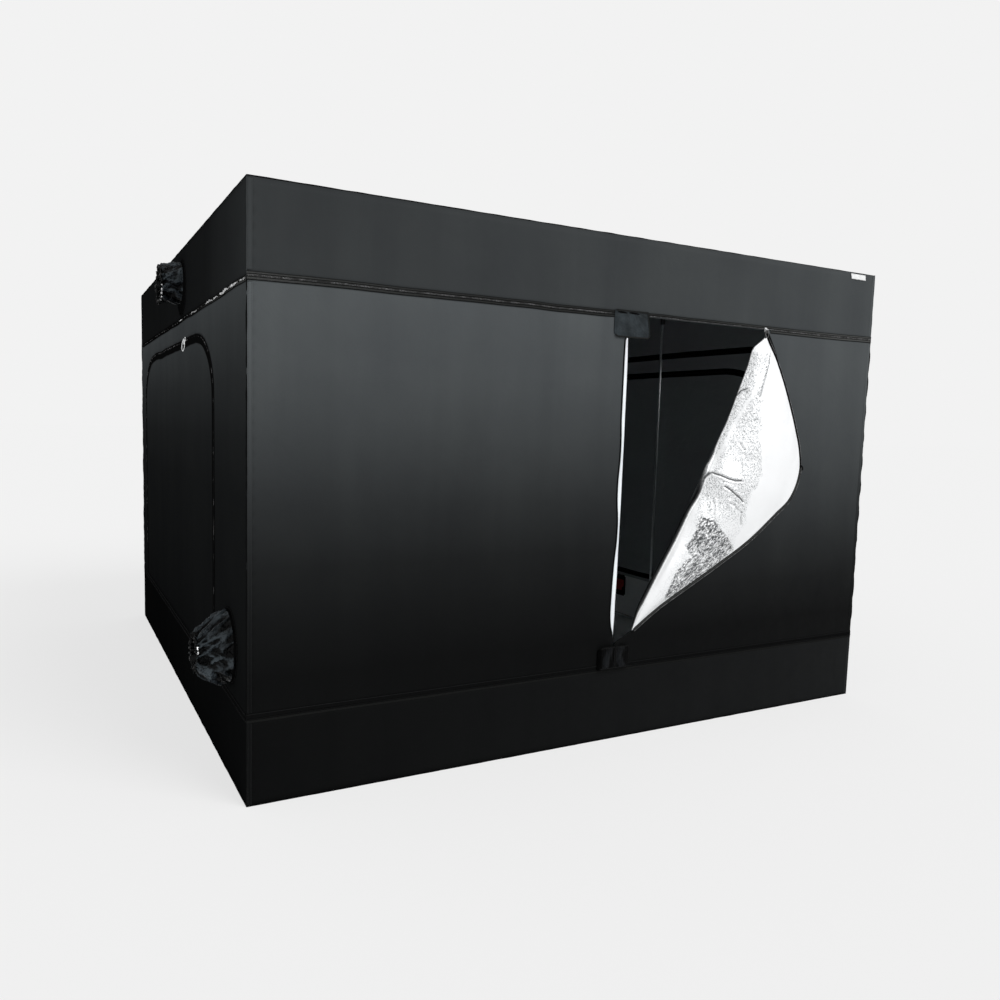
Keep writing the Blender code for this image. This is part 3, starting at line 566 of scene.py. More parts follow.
STITCH = ([(-0.5, -0.5, 0), (0.5, -0.5, 0), (0.5, 0.5, 0), (-0.5, 0.5, 0), (-0.25, 0, 1), (0.25, 0, 1)],
          [(0, 1, 5, 4), (2, 3, 4, 5), (1, 2, 5), (3, 0, 4)])
TOOTH = ([(-0.5, -0.5, 0), (0.5, -0.5, 0), (0.5, 0.5, 0), (-0.5, 0.5, 0),
          (-0.3, -0.35, 1), (0.3, -0.35, 1), (0.3, 0.35, 1), (-0.3, 0.35, 1)],
         [(4, 5, 6, 7), (0, 1, 5, 4), (1, 2, 6, 5), (2, 3, 7, 6), (3, 0, 4, 7)])
STITCH_SIZE, STITCH_PITCH = (0.0030, 0.0008, 0.0004), 0.0046
TOOTH_SIZE, TOOTH_PITCH = (0.0013, 0.0024, 0.0012), 0.0024
SHARP_EDGE = radians(40)
FRONT_OUT = OUTWARD["front"]
BEHIND = -(CLOTH + 0.0006)


def path_frames(path, normal):
    """The path's points with their travel, sideways and outward directions."""
    path = np.asarray(path, float)
    travel = unit(np.gradient(path, axis=0))
    out = np.broadcast_to(np.asarray(normal, float), path.shape)
    side = unit(np.cross(out, travel))
    return path, travel, side, unit(np.cross(travel, side))


class Piece:
    """One visible piece, built up from tapes, cords, stitches and teeth that follow paths.

    Each is given its material's place in the list, an offset sideways from the path and a lift outwards from it.
    """

    def __init__(self, path=None, out=FRONT_OUT):
        self.verts, self.faces, self.index, self.count = [], [], [], 0
        self.follow(path, out)

    def follow(self, path, out=None):
        """Sets the path for what comes next, and the outward direction where one is given."""
        self.path, self.out = path, self.out if out is None else out
        return self

    def add(self, verts, faces, mat):
        self.verts.append(np.asarray(verts, float).reshape(-1, 3))
        self.faces += [tuple(i + self.count for i in face) for face in faces]
        self.index += [mat] * len(faces)
        self.count += len(self.verts[-1])

    def sweep(self, section, mat, scale=None):
        """A closed section of (sideways, outwards) points carried along the path."""
        path, _, side, out = path_frames(self.path, self.out)
        section = np.asarray(section, float)
        size = np.ones(len(path)) if scale is None else np.asarray(scale, float)
        rings = (path[:, None] + side[:, None] * section[None, :, :1] * size[:, None, None]
                 + out[:, None] * section[None, :, 1:] * size[:, None, None])
        count = len(section)
        faces = [f[::-1] for f in grid_faces(len(path), count, closed=True)]
        faces += [tuple(range(count)), tuple(reversed(range((len(path) - 1) * count, len(path) * count)))]
        self.add(rings, faces, mat)

    def tape(self, mat, width, thickness, offset=0.0, lift=0.0002, scale=None):
        """A flat strip with softened edges."""
        soft = min(thickness * 0.45, width * 0.1)
        near, far, top = offset - width / 2, offset + width / 2, lift + thickness
        self.sweep([(near, lift), (far, lift), (far, top - soft), (far - soft, top), (near + soft, top),
                    (near, top - soft)], mat, scale)

    def cord(self, mat, radius, offset=0.0, lift=0.0, sides=8, scale=None):
        """A round cord that stands on the cloth."""
        turns = [2 * pi * i / sides for i in range(sides)]
        self.sweep([(offset + radius * cos(t), lift + radius + radius * sin(t)) for t in turns], mat, scale)

    def row(self, shape, mat, offset, lift, pitch, size):
        """Small parts at an even pitch along the path: size is along, sideways and outwards."""
        points, travel, side, out = path_frames(evenly(self.path, pitch), self.out)
        model = np.array(shape[0]) * size
        base = points + side * offset + out * lift
        verts = (base[:, None] + travel[:, None] * model[None, :, :1] + side[:, None] * model[None, :, 1:2]
                 + out[:, None] * model[None, :, 2:])
        self.add(verts, [tuple(i + k * len(model) for i in face) for k in range(len(points)) for face in shape[1]], mat)

    def stitch(self, mat, offset, lift, pitch=STITCH_PITCH, size=STITCH_SIZE):
        self.row(STITCH, mat, offset, lift, pitch, size)

    def stitch_both(self, mat, offset, lift, pitch, size=STITCH_SIZE):
        """A row of stitches on each side of the path."""
        for at in (-offset, offset):
            self.stitch(mat, at, lift, pitch, size)

    def teeth(self, mat, offset, lift, pitch=TOOTH_PITCH, size=TOOTH_SIZE):
        self.row(TOOTH, mat, offset, lift, pitch, size)

    def build(self, name, mats, body="tent"):
        obj = make_object(name, np.concatenate(self.verts), self.faces, mats, self.index)
        obj.data.set_sharp_from_angle(angle=SHARP_EDGE)
        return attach(obj, body)


def wavy(path, normal, amount, length, seed):
    """The path moved a little sideways, as a sewn line wanders."""
    path, _, side, _ = path_frames(path, normal)
    return path + side * (line_noise(run_along(path), length, seed) * amount)[:, None]


def wall_line(side, start, end, out=0.0, step=0.02):
    """A straight path on a wall from one (u, v) point to another."""
    a, b = np.array(start, float), np.array(end, float)
    count = max(2, int(np.ceil(np.linalg.norm(b - a) / step)) + 1)
    line = a + (b - a) * np.linspace(0, 1, count)[:, None]
    return on_wall(side, line[:, 0], line[:, 1], out)


# The finishes that the cover shares

# Painted light and shade: each panel's tone at heights up the doors and walls, and across the bands from left to right.
DOOR_PAINTED_LIGHT = ((0.30, 13), (0.42, 13), (0.60, 20), (0.78, 28), (0.98, 43), (1.20, 60), (1.45, 74), (1.70, 80))
RIGHT_DOOR_PAINTED_LIGHT = ((0.30, 14), (0.42, 14), (0.60, 25), (0.78, 39), (0.98, 55), (1.20, 66), (1.45, 74), (1.70, 78))
WALL_PAINTED_LIGHT = ((0.30, 20), (0.58, 23), (0.80, 25), (1.00, 27), (1.20, 34), (1.40, 47), (1.58, 61), (1.70, 70))
HEAD_PAINTED_LIGHT = ((-1.45, 53), (0.20, 62), (1.45, 71))
BASE_PAINTED_LIGHT = ((-1.45, 12), (-0.40, 17), (1.45, 25))


def lighter(stops, share):
    """The same run of tones, a little lighter."""
    return tuple((at, tone * share) for at, tone in stops)


DOOR_CLOTH = black_cloth("door_cloth", DOOR_PAINTED_LIGHT)
RIGHT_DOOR_CLOTH = black_cloth("right_door_cloth_weave", RIGHT_DOOR_PAINTED_LIGHT)
DOOR_HEM = black_cloth("door_hem_cloth", lighter(DOOR_PAINTED_LIGHT, 1.06))
HEAD_CLOTH = black_cloth("head_cloth", HEAD_PAINTED_LIGHT, "X")
HEAD_HEM = black_cloth("head_hem_cloth", lighter(HEAD_PAINTED_LIGHT, 1.09), "X")
BASE_CLOTH = black_cloth("base_cloth", BASE_PAINTED_LIGHT, "X")
BASE_HEM = black_cloth("base_hem_cloth", lighter(BASE_PAINTED_LIGHT, 1.25), "X")
WALL_CLOTH = black_cloth("wall_cloth", WALL_PAINTED_LIGHT, gloss=0.0, crease=0.004)
# The left wall's head and base bands carry painted light too, lighter towards the front corner.
WALL_HEAD_CLOTH = black_cloth("wall_head_cloth", ((-1.45, 44), (-0.75, 27), (0.6, 22)), "Y", 0.0, 0.004)
WALL_BASE_CLOTH = black_cloth("wall_base_cloth", ((-1.45, 16), (0.5, 11)), "Y", 0.0, 0.004)
ROOF_CLOTH = black_cloth("roof_cloth", ((0.0, 56), (1.75, 56)))
# Painted shade: the inside lining is far darker than the same foil on the door's lip, for the tent's dim inside, with
# painted light on its base band.
LINING = silver_lining("interior_lining", 0.43, 0.92, base=0.92)
FLAP_FOIL = flap_foil("flap_lining")
LIP_FOIL = silver_lining("lip_lining", 0.93, 0.95, 0.25, 0.35)
GLINT = plain_metal("lining_glimpse", (0.93, 0.94, 0.95), 0.20)
# Painted shade: dark patches in the lining glimpse's crumpled foil.
ZIP_GLINT = plain_metal("zip_lining_glimpse", (0.90, 0.91, 0.92), 0.26, 75.0, 0.10)
TAPE = tape("zip_tape", 72, True,
            ("X", ((-1.45, 0.72), (-1.15, 0.46), (-0.6, 0.30), (0.2, 0.29), (0.7, 0.52), (1.2, 0.95))))
FLAP_TAPE = tape("flap_tape", 58, True)
BASE_TAPE = tape("base_tape", 25, True)
TAB_BINDING = tape("tab_binding", 34, True)
BOTTOM_BINDING = tape("bottom_tab_binding", 19)
# Painted light: the left wall's zip tape is lighter near the front corner and darker towards the rear.
LEFT_ZIP_TAPE = tape("left_zip_tape", 68, True, ("Y", ((-1.45, 0.85), (-1.1, 0.55), (-0.6, 0.16), (-0.1, 0.05))))
ZIP_BLACK = tape("zip_black_tape", 12)
DARK_TAPE = tape("binding_tape", 14)
WALL_TAPE = tape("wall_tape", 15)
EDGE_CORD = tape("edge_cord", 30)
DRAW_CORD = tape("draw_cord", 40)
STITCH_THREAD = tape("stitch_thread", 52)
PATCH_THREAD = tape("patch_thread", 150)
COIL = coil_nylon("zip_coil", 0.034, 0.30, 0.36, 0.56, 0.1)
DARK_COIL = coil_nylon("side_zip_coil", 0.006, 0.30, 0.50, 0.60, 0.0)
BRIGHT = plain_metal("bright_nickel", (0.90, 0.91, 0.92), 0.16)
DARK_METAL = plain_metal("dark_nickel", (0.10, 0.10, 0.10), 0.34)
# Painted light and shade on the socks: lighter where they face the light and darker in their hollows.
NYLON = satin_nylon("sock_nylon", 62, 0.34, 0.08, lit=True, cast=(0.90, 1.0, 1.08))
# Painted shade: the socks' inside is near-black nylon, for their dim inside.
SOCK_INSIDE_SHADE = satin_nylon("sock_inside_shade", 12)
TAB_NYLON = satin_nylon("tab_nylon", 43, 0.45, 0.05, creased=0.18, cast=(0.88, 1.0, 1.08))
BOTTOM_NYLON = satin_nylon("bottom_tab_nylon", 19, 0.42, 0.03, creased=0.35, cast=(0.96, 1.0, 1.10))
STEEL = painted_steel("pole_paint", (0.90, 0.93, 0.94))
# Painted light: the connectors' black plastic is given a lighter grey, for their place in the tent's shade.
PLASTIC = moulded_plastic("connector_plastic_finish", 62)
LOCK_PLASTIC = moulded_plastic("lock_plastic_finish", 14, 0.05)
RED_MESH = woven_cloth("vent_cloth", 30.0, (0.30, 0.022, 0.020), (0.46, 0.035, 0.030), 0.0022, (0.6, 0.0006), 0.8)
PATCH = woven_cloth("patch_weave", 60.0, (0.74, 0.75, 0.75), (0.84, 0.85, 0.85), 0.0009, (0.5, 0.0003), 0.75)


def add_sheet(obj, node, body):
    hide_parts(node)
    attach(obj, body)
    return obj


# Plain panels

# Where the front lies flat beneath a tab and beside the edge that it swings on: from and to, across and up
TAB_PLACES = ((-0.085, 0.140, 1.600, 1.720), (-0.095, 0.130, 0.280, 0.410))


def gentle(seed, lift=0.0035, size=0.75, fade=0.08, seams=(), flats=()):
    """Slow swells and a few softer ripples, which end at the edges, at seams that cross the panel and at flat
    places."""
    def relief(u, v, edge):
        slow, quick = soft_noise(u, v, size, seed), soft_noise(u, v, size * 0.22, seed + 50, 2)
        rise = lift * (0.45 + 0.38 * slow + 0.10 * quick)
        pucker = 0.0006 * soft_noise(u, v, 0.09, seed + 99, 2) * np.exp(-((edge - 0.03) / 0.03) ** 2)
        for seam in seams:
            rise = rise * smoothstep((np.abs(v - seam) - 0.014) / 0.06)
        for u0, u1, v0, v1 in flats:
            away = smoothstep(np.maximum(np.maximum(u0 - u, u - u1), np.maximum(v0 - v, v - v1)) / 0.05)
            rise, pucker = rise * away, pucker * away
        return (rise + pucker) * smoothstep(edge / fade)
    return relief


def wall_piece(name, node, side, outline, outer, body="tent", holes=(), seed=1, rests_on=(), **more):
    """One panel of the cover, lined with silver, in the place of its CAD panel."""
    obj = cloth_panel(name, side, outline, (outer, LINING), holes, relief=gentle(seed, **more))
    return add_sheet(obj, node, body)


def corner_arc(cu, cv, start, end, steps=20):
    """A side door's rounded top corner between two angles."""
    wide, tall = DOOR_CORNER
    return [(cu + wide * u, cv + tall * v) for u, v in arc_points(0, 0, 1, start, end, steps)]


def door_shape(side):
    """The side door's outline in (u, v), from its CAD box."""
    low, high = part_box(f"{side}_side_door")
    top = high.z - DOOR_TOP_DROP[side]
    wide, tall = DOOR_CORNER
    return ([(low.y, low.z), (high.y, low.z)] + corner_arc(high.y - wide, top - tall, 0, 90)
            + corner_arc(low.y + wide, top - tall, 90, 180))


def grown(outline, amount):
    """An outline moved outwards by an amount."""
    points = np.array(outline, float)
    ahead = unit(np.roll(points, -1, axis=0) - points)
    behind = unit(points - np.roll(points, 1, axis=0))
    travel = unit(ahead + behind)
    return [tuple(p) for p in points + np.stack([travel[:, 1], -travel[:, 0]], -1) * amount]


def sock_hole(name):
    """The hole that a duct sock is sewn round, from the sock's CAD box."""
    low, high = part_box(f"{name}_duct_sock")
    radius = (high.y - low.y) / 2 - SOCK_FLANGE
    centre = ((low.y + high.y) / 2, high.z - radius - SOCK_FLANGE)
    return centre, radius


def circle(centre, radius, count=48):
    """A round outline."""
    return [(centre[0] + radius * cos(2 * pi * i / count), centre[1] + radius * sin(2 * pi * i / count))
            for i in range(count)]


LIP = (
    (0.4345, 0.0050, 0.0085), (0.475, -0.0020, 0.0110), (0.515, -0.0070, 0.0132), (0.574, -0.0045, 0.0130),
    (0.655, -0.0019, 0.0165), (0.736, 0.0031, 0.0172), (0.816, 0.0114, 0.0187), (0.896, 0.0134, 0.0200),
    (0.976, 0.0054, 0.0209), (1.056, 0.0049, 0.0217), (1.135, 0.0119, 0.0222), (1.214, 0.0131, 0.0234),
    (1.292, 0.0093, 0.0230), (1.370, 0.0100, 0.0239), (1.448, 0.0109, 0.0241), (1.526, 0.0109, 0.0242),
    (1.560, 0.0117, 0.0231), (1.612, 0.0134, 0.0215),
)


def lip_edge(z, column=2):
    """Where the left door's turned edge ends: column 2 is the fold and column 1 the lining's free edge."""
    return table_mean(LIP, z, column, 0.03, 7)


def add_front():
    """The bands above and below the doors, and both doors."""
    wall_piece("front_head_cloth", "front_head_band", "front", rectangle(LEFT, RIGHT, ZIP_TOP, WALL_TOP),
               HEAD_CLOTH, seed=3, rests_on=["front_top_rail"], lift=0.0025, fade=0.05, flats=TAB_PLACES)
    wall_piece("front_base_cloth", "front_base_band", "front", rectangle(LEFT, RIGHT, WALL_LOW, ZIP_LOW),
               BASE_CLOTH, seed=4, rests_on=["front_low_rail"], lift=0.0025, fade=0.05)
    low, high = ZIP_LOW + SEAT, ZIP_TOP - SEAT
    edge = [(float(lip_edge(z)) + 0.0012, z) for z in np.linspace(0.4345, 1.60, 40)]
    left = ([(LEFT, low), (MEET_X - SEAT, low), (MEET_X - SEAT, MEET_TOP_Z)] + edge
            + [(LEFT_EDGE_X, 1.615), (LEFT_EDGE_X, high), (LEFT, high)])
    wall_piece("left_door_cloth", "left_front_door", "front", left, DOOR_CLOTH, "left_front_door",
               seed=5, rests_on=["front_head_cloth"], flats=TAB_PLACES)
    right = [(MEET_X + SEAT, low), (RIGHT, low), (RIGHT, high), (FOLD_TOP.x + 0.001, high),
             (FOLD_LOW.x + 0.001, FOLD_LOW.z), (MEET_X + SEAT, MEET_TOP_Z - 0.005)]
    wall_piece("right_door_cloth", "right_front_door", "front", right, RIGHT_DOOR_CLOTH, "right_front_door",
               seed=6, rests_on=["front_head_cloth"], flats=TAB_PLACES)


def add_sides():
    """The left wall in three bands, the right and rear walls, and the side doors."""
    front, rear = FRONT + CLOTH + SEAT, REAR - CLOTH - SEAT
    door_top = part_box("left_side_door")[1].z
    upper, upper_r = sock_hole("upper")
    lower, lower_r = sock_hole("lower")
    wall_piece("left_head_cloth", "left_head_band", "left", rectangle(front, rear, ZIP_TOP + SEAT, WALL_TOP),
               WALL_HEAD_CLOTH, holes=[circle(upper, upper_r)], seed=11, rests_on=["left_top_rail"], lift=0.0025,
               fade=0.05)
    wall_piece("left_wall_cloth", "left_wall_panel", "left", rectangle(front, rear, ZIP_LOW + SEAT, ZIP_TOP),
               WALL_CLOTH, holes=[grown(door_shape("left"), SEAT), circle(lower, lower_r)], seed=12,
               rests_on=["left_head_cloth"], lift=0.002, fade=0.05, seams=(door_top,))
    wall_piece("left_base_cloth", "left_base_band", "left", rectangle(front, rear, WALL_LOW, ZIP_LOW),
               WALL_BASE_CLOTH, seed=13, rests_on=["left_low_rail"], lift=0.002, fade=0.05)
    vent_low, vent_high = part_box("vent_mesh")
    vent = rectangle(vent_low.y - SEAT, vent_high.y + SEAT, vent_low.z - SEAT, vent_high.z + SEAT)
    wall_piece("right_wall_cloth", "right_wall", "right", rectangle(front, rear, WALL_LOW, WALL_TOP), WALL_CLOTH,
               holes=[grown(door_shape("right"), SEAT), vent], seed=14, rests_on=["right_top_rail"], lift=0.002,
               fade=0.05, seams=(ZIP_LOW, door_top, ZIP_TOP))
    wall_piece("rear_wall_cloth", "rear_wall", "rear", rectangle(LEFT, RIGHT, WALL_LOW, WALL_TOP), WALL_CLOTH,
               seed=15, rests_on=["rear_top_rail"], seams=(ZIP_LOW, ZIP_TOP))
    for side in ("left", "right"):
        wall_piece(f"{side}_side_door_cloth", f"{side}_side_door", side, door_shape(side), WALL_CLOTH,
                   f"{side}_side_door", seed=21, rests_on=[f"{side}_wall_cloth"])


def add_roof_and_floor():
    """The roof, which sags no lower than the bars that slide under it, and the floor, which lies flat."""
    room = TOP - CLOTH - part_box("front_hanging_bar")[1].z - 0.0006

    def sag(u, v, edge):
        drop = 0.012 * smoothstep(edge / 0.8) - 0.002 * soft_noise(u, v, 0.5, 31) * smoothstep(edge / 0.1)
        return -np.minimum(drop, room)
    roof = cloth_panel("roof_cloth_piece", "roof", rectangle(LEFT, RIGHT, FRONT, REAR), (ROOF_CLOTH, LINING),
                       relief=sag)
    add_sheet(roof, "roof_panel", "tent")
    floor = cloth_panel("floor_cloth_piece", "floor", rectangle(LEFT, RIGHT, FRONT, REAR), (ROOF_CLOTH, LINING))
    add_sheet(floor, "floor_panel", "tent")


# The folded corner of the right door

FOLD_TOP_SHARE = 0.972
FOLD_TRAVEL = (FOLD_TOP - FOLD_LOW).normalized()
FOLD_ACROSS = Vector((FOLD_TRAVEL.z, 0, -FOLD_TRAVEL.x))
FLAP_EDGE = (
    (0.105, 0.446, 0.003), (0.215, 0.528, 0.016), (0.360, 0.610, 0.026), (0.505, 0.690, 0.034),
    (0.690, 0.795, 0.040), (0.850, 0.905, 0.034), (0.940, 0.970, 0.028), (0.982, 1.035, 0.024),
    (1.000, 1.105, 0.022), (0.985, 1.180, 0.026), (0.940, 1.290, 0.032), (0.895, 1.395, 0.032),
    (0.855, 1.490, 0.026), (0.812, 1.590, 0.014), (0.769, 1.667, 0.003),
)
FOLD_WANDER = (
    (0.0, 0.0), (0.059, -0.018), (0.134, -0.013), (0.208, -0.007), (0.297, 0.002), (0.401, 0.005), (0.451, 0.018),
    (0.480, 0.016), (0.520, 0.008), (0.540, 0.002), (0.584, 0.011), (0.614, 0.006), (0.654, 0.004), (0.698, 0.007),
    (0.758, 0.0), (0.792, -0.005), (0.832, -0.009), (0.891, -0.016), (0.947, -0.032), (1.0, 0.006),
)
# Where the bright, smooth side ends and the painted specks begin.
SMOOTH_SIDE = (
    (0.760, 0.607), (0.820, 0.600), (0.869, 0.640), (0.922, 0.625), (0.961, 0.630), (0.999, 0.636), (1.024, 0.670),
    (1.066, 0.700), (1.133, 0.701), (1.178, 0.697), (1.244, 0.687), (1.296, 0.704), (1.345, 0.702), (1.392, 0.719),
    (1.413, 0.707), (1.460, 0.724), (1.501, 0.743), (1.545, 0.763), (1.594, 0.781),
)
# A painted highlight: the film is left bright along this ridge of the fold.
PAINTED_RIDGE_HIGHLIGHT = (
    (0.732, 1.525), (0.669, 1.418), (0.618, 1.338), (0.575, 1.266), (0.534, 1.195), (0.489, 1.131), (0.447, 1.073),
    (0.418, 1.014), (0.390, 0.951), (0.351, 0.871), (0.305, 0.787), (0.259, 0.719), (0.203, 0.624), (0.162, 0.549),
    (0.123, 0.476),
)
# Painted shade: the darkest crushed patch, on the lower part of the flap.
CRUSHED_SHADED = (
    (0.402, 0.903), (0.449, 0.897), (0.501, 0.842), (0.559, 0.803), (0.607, 0.755), (0.494, 0.676), (0.434, 0.642),
    (0.371, 0.606), (0.318, 0.577), (0.263, 0.548), (0.242, 0.586), (0.269, 0.649), (0.295, 0.696), (0.331, 0.729),
    (0.358, 0.744), (0.334, 0.774), (0.327, 0.787), (0.352, 0.806), (0.378, 0.851), (0.389, 0.890),
)
# Sharp creases: depth, half width, and the points they pass through
CREASES = (
    (0.0050, 0.0042, ((0.440, 1.066), (0.467, 1.088), (0.496, 1.077), (0.527, 1.063), (0.558, 1.056), (0.591, 1.055))),
    (0.0040, 0.0035, ((0.432, 1.050), (0.443, 1.071), (0.458, 1.091))),
    (0.0048, 0.0042, ((0.511, 1.032), (0.537, 1.016), (0.565, 0.995), (0.588, 0.980), (0.603, 0.967))),
    (0.0026, 0.0038, ((0.533, 0.962), (0.557, 0.953), (0.575, 0.936), (0.603, 0.922))),
    (0.0024, 0.0060, ((0.602, 0.919), (0.601, 0.893), (0.610, 0.870))),
    (0.0020, 0.0040, ((0.599, 1.213), (0.617, 1.185))),
    (0.0040, 0.0038, ((0.612, 1.412), (0.630, 1.434), (0.652, 1.443))),
    (0.0028, 0.0055, ((0.783, 1.598), (0.766, 1.548), (0.746, 1.508), (0.734, 1.479), (0.718, 1.444), (0.704, 1.410))),
    (0.0022, 0.0035, ((0.663, 1.494), (0.680, 1.518))),
    (-0.0022, 0.0040, ((0.609, 1.154), (0.603, 1.080), (0.596, 1.013))),
    (-0.0018, 0.0038, ((0.470, 0.974), (0.467, 0.935), (0.462, 0.892))),
)
ROLL_STEPS = 14
FLAP_ACROSS = 190
FLAP_ALONG = 380
FLAP_FOOT = FRONT - 0.0008
FLAP_TOOTH_SIZE, FLAP_TOOTH_PITCH = (0.0016, 0.0042, 0.0012), 0.0025


def curve_through(points, at):
    """A smooth curve through points, evenly timed, at shares from 0 to 1."""
    points = np.array(points, float)
    run = run_along(points)
    run /= run[-1]
    slope = np.gradient(points, run, axis=0)
    k = np.clip(np.searchsorted(run, at, side="right") - 1, 0, len(run) - 2)
    gap = (run[k + 1] - run[k])[:, None]
    t = ((at - run[k])[:, None]) / gap
    return ((2 * t ** 3 - 3 * t ** 2 + 1) * points[k] + (t ** 3 - 2 * t ** 2 + t) * gap * slope[k]
            + (-2 * t ** 3 + 3 * t ** 2) * points[k + 1] + (t ** 3 - t ** 2) * gap * slope[k + 1])


def fold_radius(along):
    """The fold is a soft roll low down and a sharper one above."""
    return 0.0035 + 0.0095 * smoothstep(along / 0.10) * smoothstep((0.62 - along) / 0.12)


def flap_grid():
    """Points of the folded cloth, row by row from the fold's roll to the free edge."""
    along = np.linspace(0, 1, FLAP_ALONG + 1)
    fold = np.array([FOLD_LOW.lerp(FOLD_TOP, a * FOLD_TOP_SHARE) for a in along])
    fold = fold + np.array(FOLD_ACROSS) * table_mean(FOLD_WANDER, along, 1, 0.012, 5)[:, None]
    edge = curve_through(FLAP_EDGE, along)
    radius = fold_radius(along)
    width = np.hypot(edge[:, 0] - fold[:, 0], edge[:, 1] - fold[:, 2])
    rows = []
    for i in range(ROLL_STEPS):
        turn = pi * i / ROLL_STEPS
        place = fold - np.array(FOLD_ACROSS) * (radius * sin(turn))[:, None]
        place[:, 1] = FLAP_FOOT - radius * (1 - cos(turn))
        rows.append(place)
    for i in range(FLAP_ACROSS + 1):
        t = i / FLAP_ACROSS
        place = fold * (1 - t)
        place[:, 0] += edge[:, 0] * t
        place[:, 2] += edge[:, 1] * t
        sail = 0.13 * width * sin(pi * t ** 0.8)
        place[:, 1] = FLAP_FOOT - ((2 * radius) * (1 - t) + edge[:, 2] * t + sail)
        rows.append(place)
    return np.array(rows)


def line_distance(x, z, line):
    """How far each point is from an open line."""
    return nearest(np.stack([x.ravel(), z.ravel()], -1), np.array(line)).reshape(x.shape)


def zone(x, z, outline, soft):
    """1 inside an outline and 0 outside, with a soft border."""
    points, loop = np.stack([x.ravel(), z.ravel()], -1), np.array(outline)
    signed = edge_distance(points, [loop]) * np.where(inside(points, loop), 1, -1)
    return smoothstep(0.5 + signed / (2 * soft)).reshape(x.shape)


def flap_creases(x, z):
    """The sharp creases of the folded cloth, as a rise and fall of its surface."""
    total = np.zeros(x.shape)
    for depth, width, line in CREASES:
        gap = line_distance(x, z, line)
        total += -depth * np.exp(-(gap / width) ** 2) + depth * 0.35 * np.exp(-((gap - 2.4 * width) / width) ** 2)
    return total


def flap_crush_and_shade(x, z):
    """How crushed the film is, from 0 to 1, which also sets its painted shade: smooth at the free side, speckled in the
    middle, crushed low down, with a painted highlight along the fold's ridge and a painted shadow line along the smooth
    side.
    """
    table = np.array(SMOOTH_SIDE)
    limit = np.interp(z, table[:, 0], table[:, 1]) + 0.006 * soft_noise(x, z, 0.06, 44, 2)
    middle = smoothstep((limit - x) / 0.020 + 0.5) * smoothstep((1.606 - z) / 0.010)
    ridge = line_distance(x, z, PAINTED_RIDGE_HIGHLIGHT)
    width = 0.009 + 0.010 * smoothstep((1.05 - z) / 0.20)
    middle = middle * (1 - 0.9 * np.exp(-(ridge / width) ** 2)) * (0.32 + 0.68 * smoothstep((z - 0.86) / 0.10))
    ragged = 0.012 * soft_noise(x, z, 0.020, 45, 3)
    # A painted shadow line along the edge of the smooth side.
    border = (np.exp(-((limit - x - 0.012 + ragged) / 0.010) ** 2) * smoothstep((z - 1.42) / 0.06)
              * smoothstep((1.60 - z) / 0.02))
    return np.clip(0.40 * middle + 0.40 * border + zone(x, z, CRUSHED_SHADED, 0.006), 0, 1)


def add_flap():
    """The door's corner, folded out with its lining showing and its zip tapes along its edges."""
    rows = flap_grid()
    x, z = rows[..., 0], rows[..., 2]
    share = np.clip((np.arange(len(rows)) - ROLL_STEPS) / FLAP_ACROSS, 0, 1)[:, None]
    along = np.linspace(0, 1, rows.shape[1])[None, :]
    soft = smoothstep(share / 0.06) * smoothstep((1 - share) / 0.04 + 0.2)
    ends = smoothstep(along / 0.05) * smoothstep((1 - along) / 0.04)
    creases, crush = flap_creases(x, z), flap_crush_and_shade(x, z)
    swell = 0.0030 * soft_noise(x, z * 0.45, 0.20, 41, 2) + 0.0014 * crush * ridged(soft_noise(x, z, 0.020, 43, 2))
    rows[..., 1] -= (creases * (0.4 + 0.6 * soft) + swell * soft) * ends
    rows[..., 1] = np.minimum(rows[..., 1], FLAP_FOOT)
    obj = grid_sheet("flap_lining_sheet", rows, (FLAP_FOIL, DOOR_CLOTH), "front")
    # The fold's roll is painted dark as shadow and speckled with painted shade.
    turn = np.clip(np.arange(len(rows)) / ROLL_STEPS, 0, 1)[:, None]
    low = smoothstep((0.56 - along) / 0.10)
    shadow = smoothstep((0.96 - turn) / 0.20) * (0.25 + 0.75 * low) * (1 - 0.85 * smoothstep((0.34 - turn) / 0.08))
    add_attribute(obj, "shadow", shadow)
    add_attribute(obj, "fold", creases / 0.0045)
    add_attribute(obj, "crush", np.maximum(crush, 0.45 * smoothstep((1 - turn) / 0.3)))
    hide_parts("right_door_flap")
    add_flap_bindings(rows[-1])
    return obj


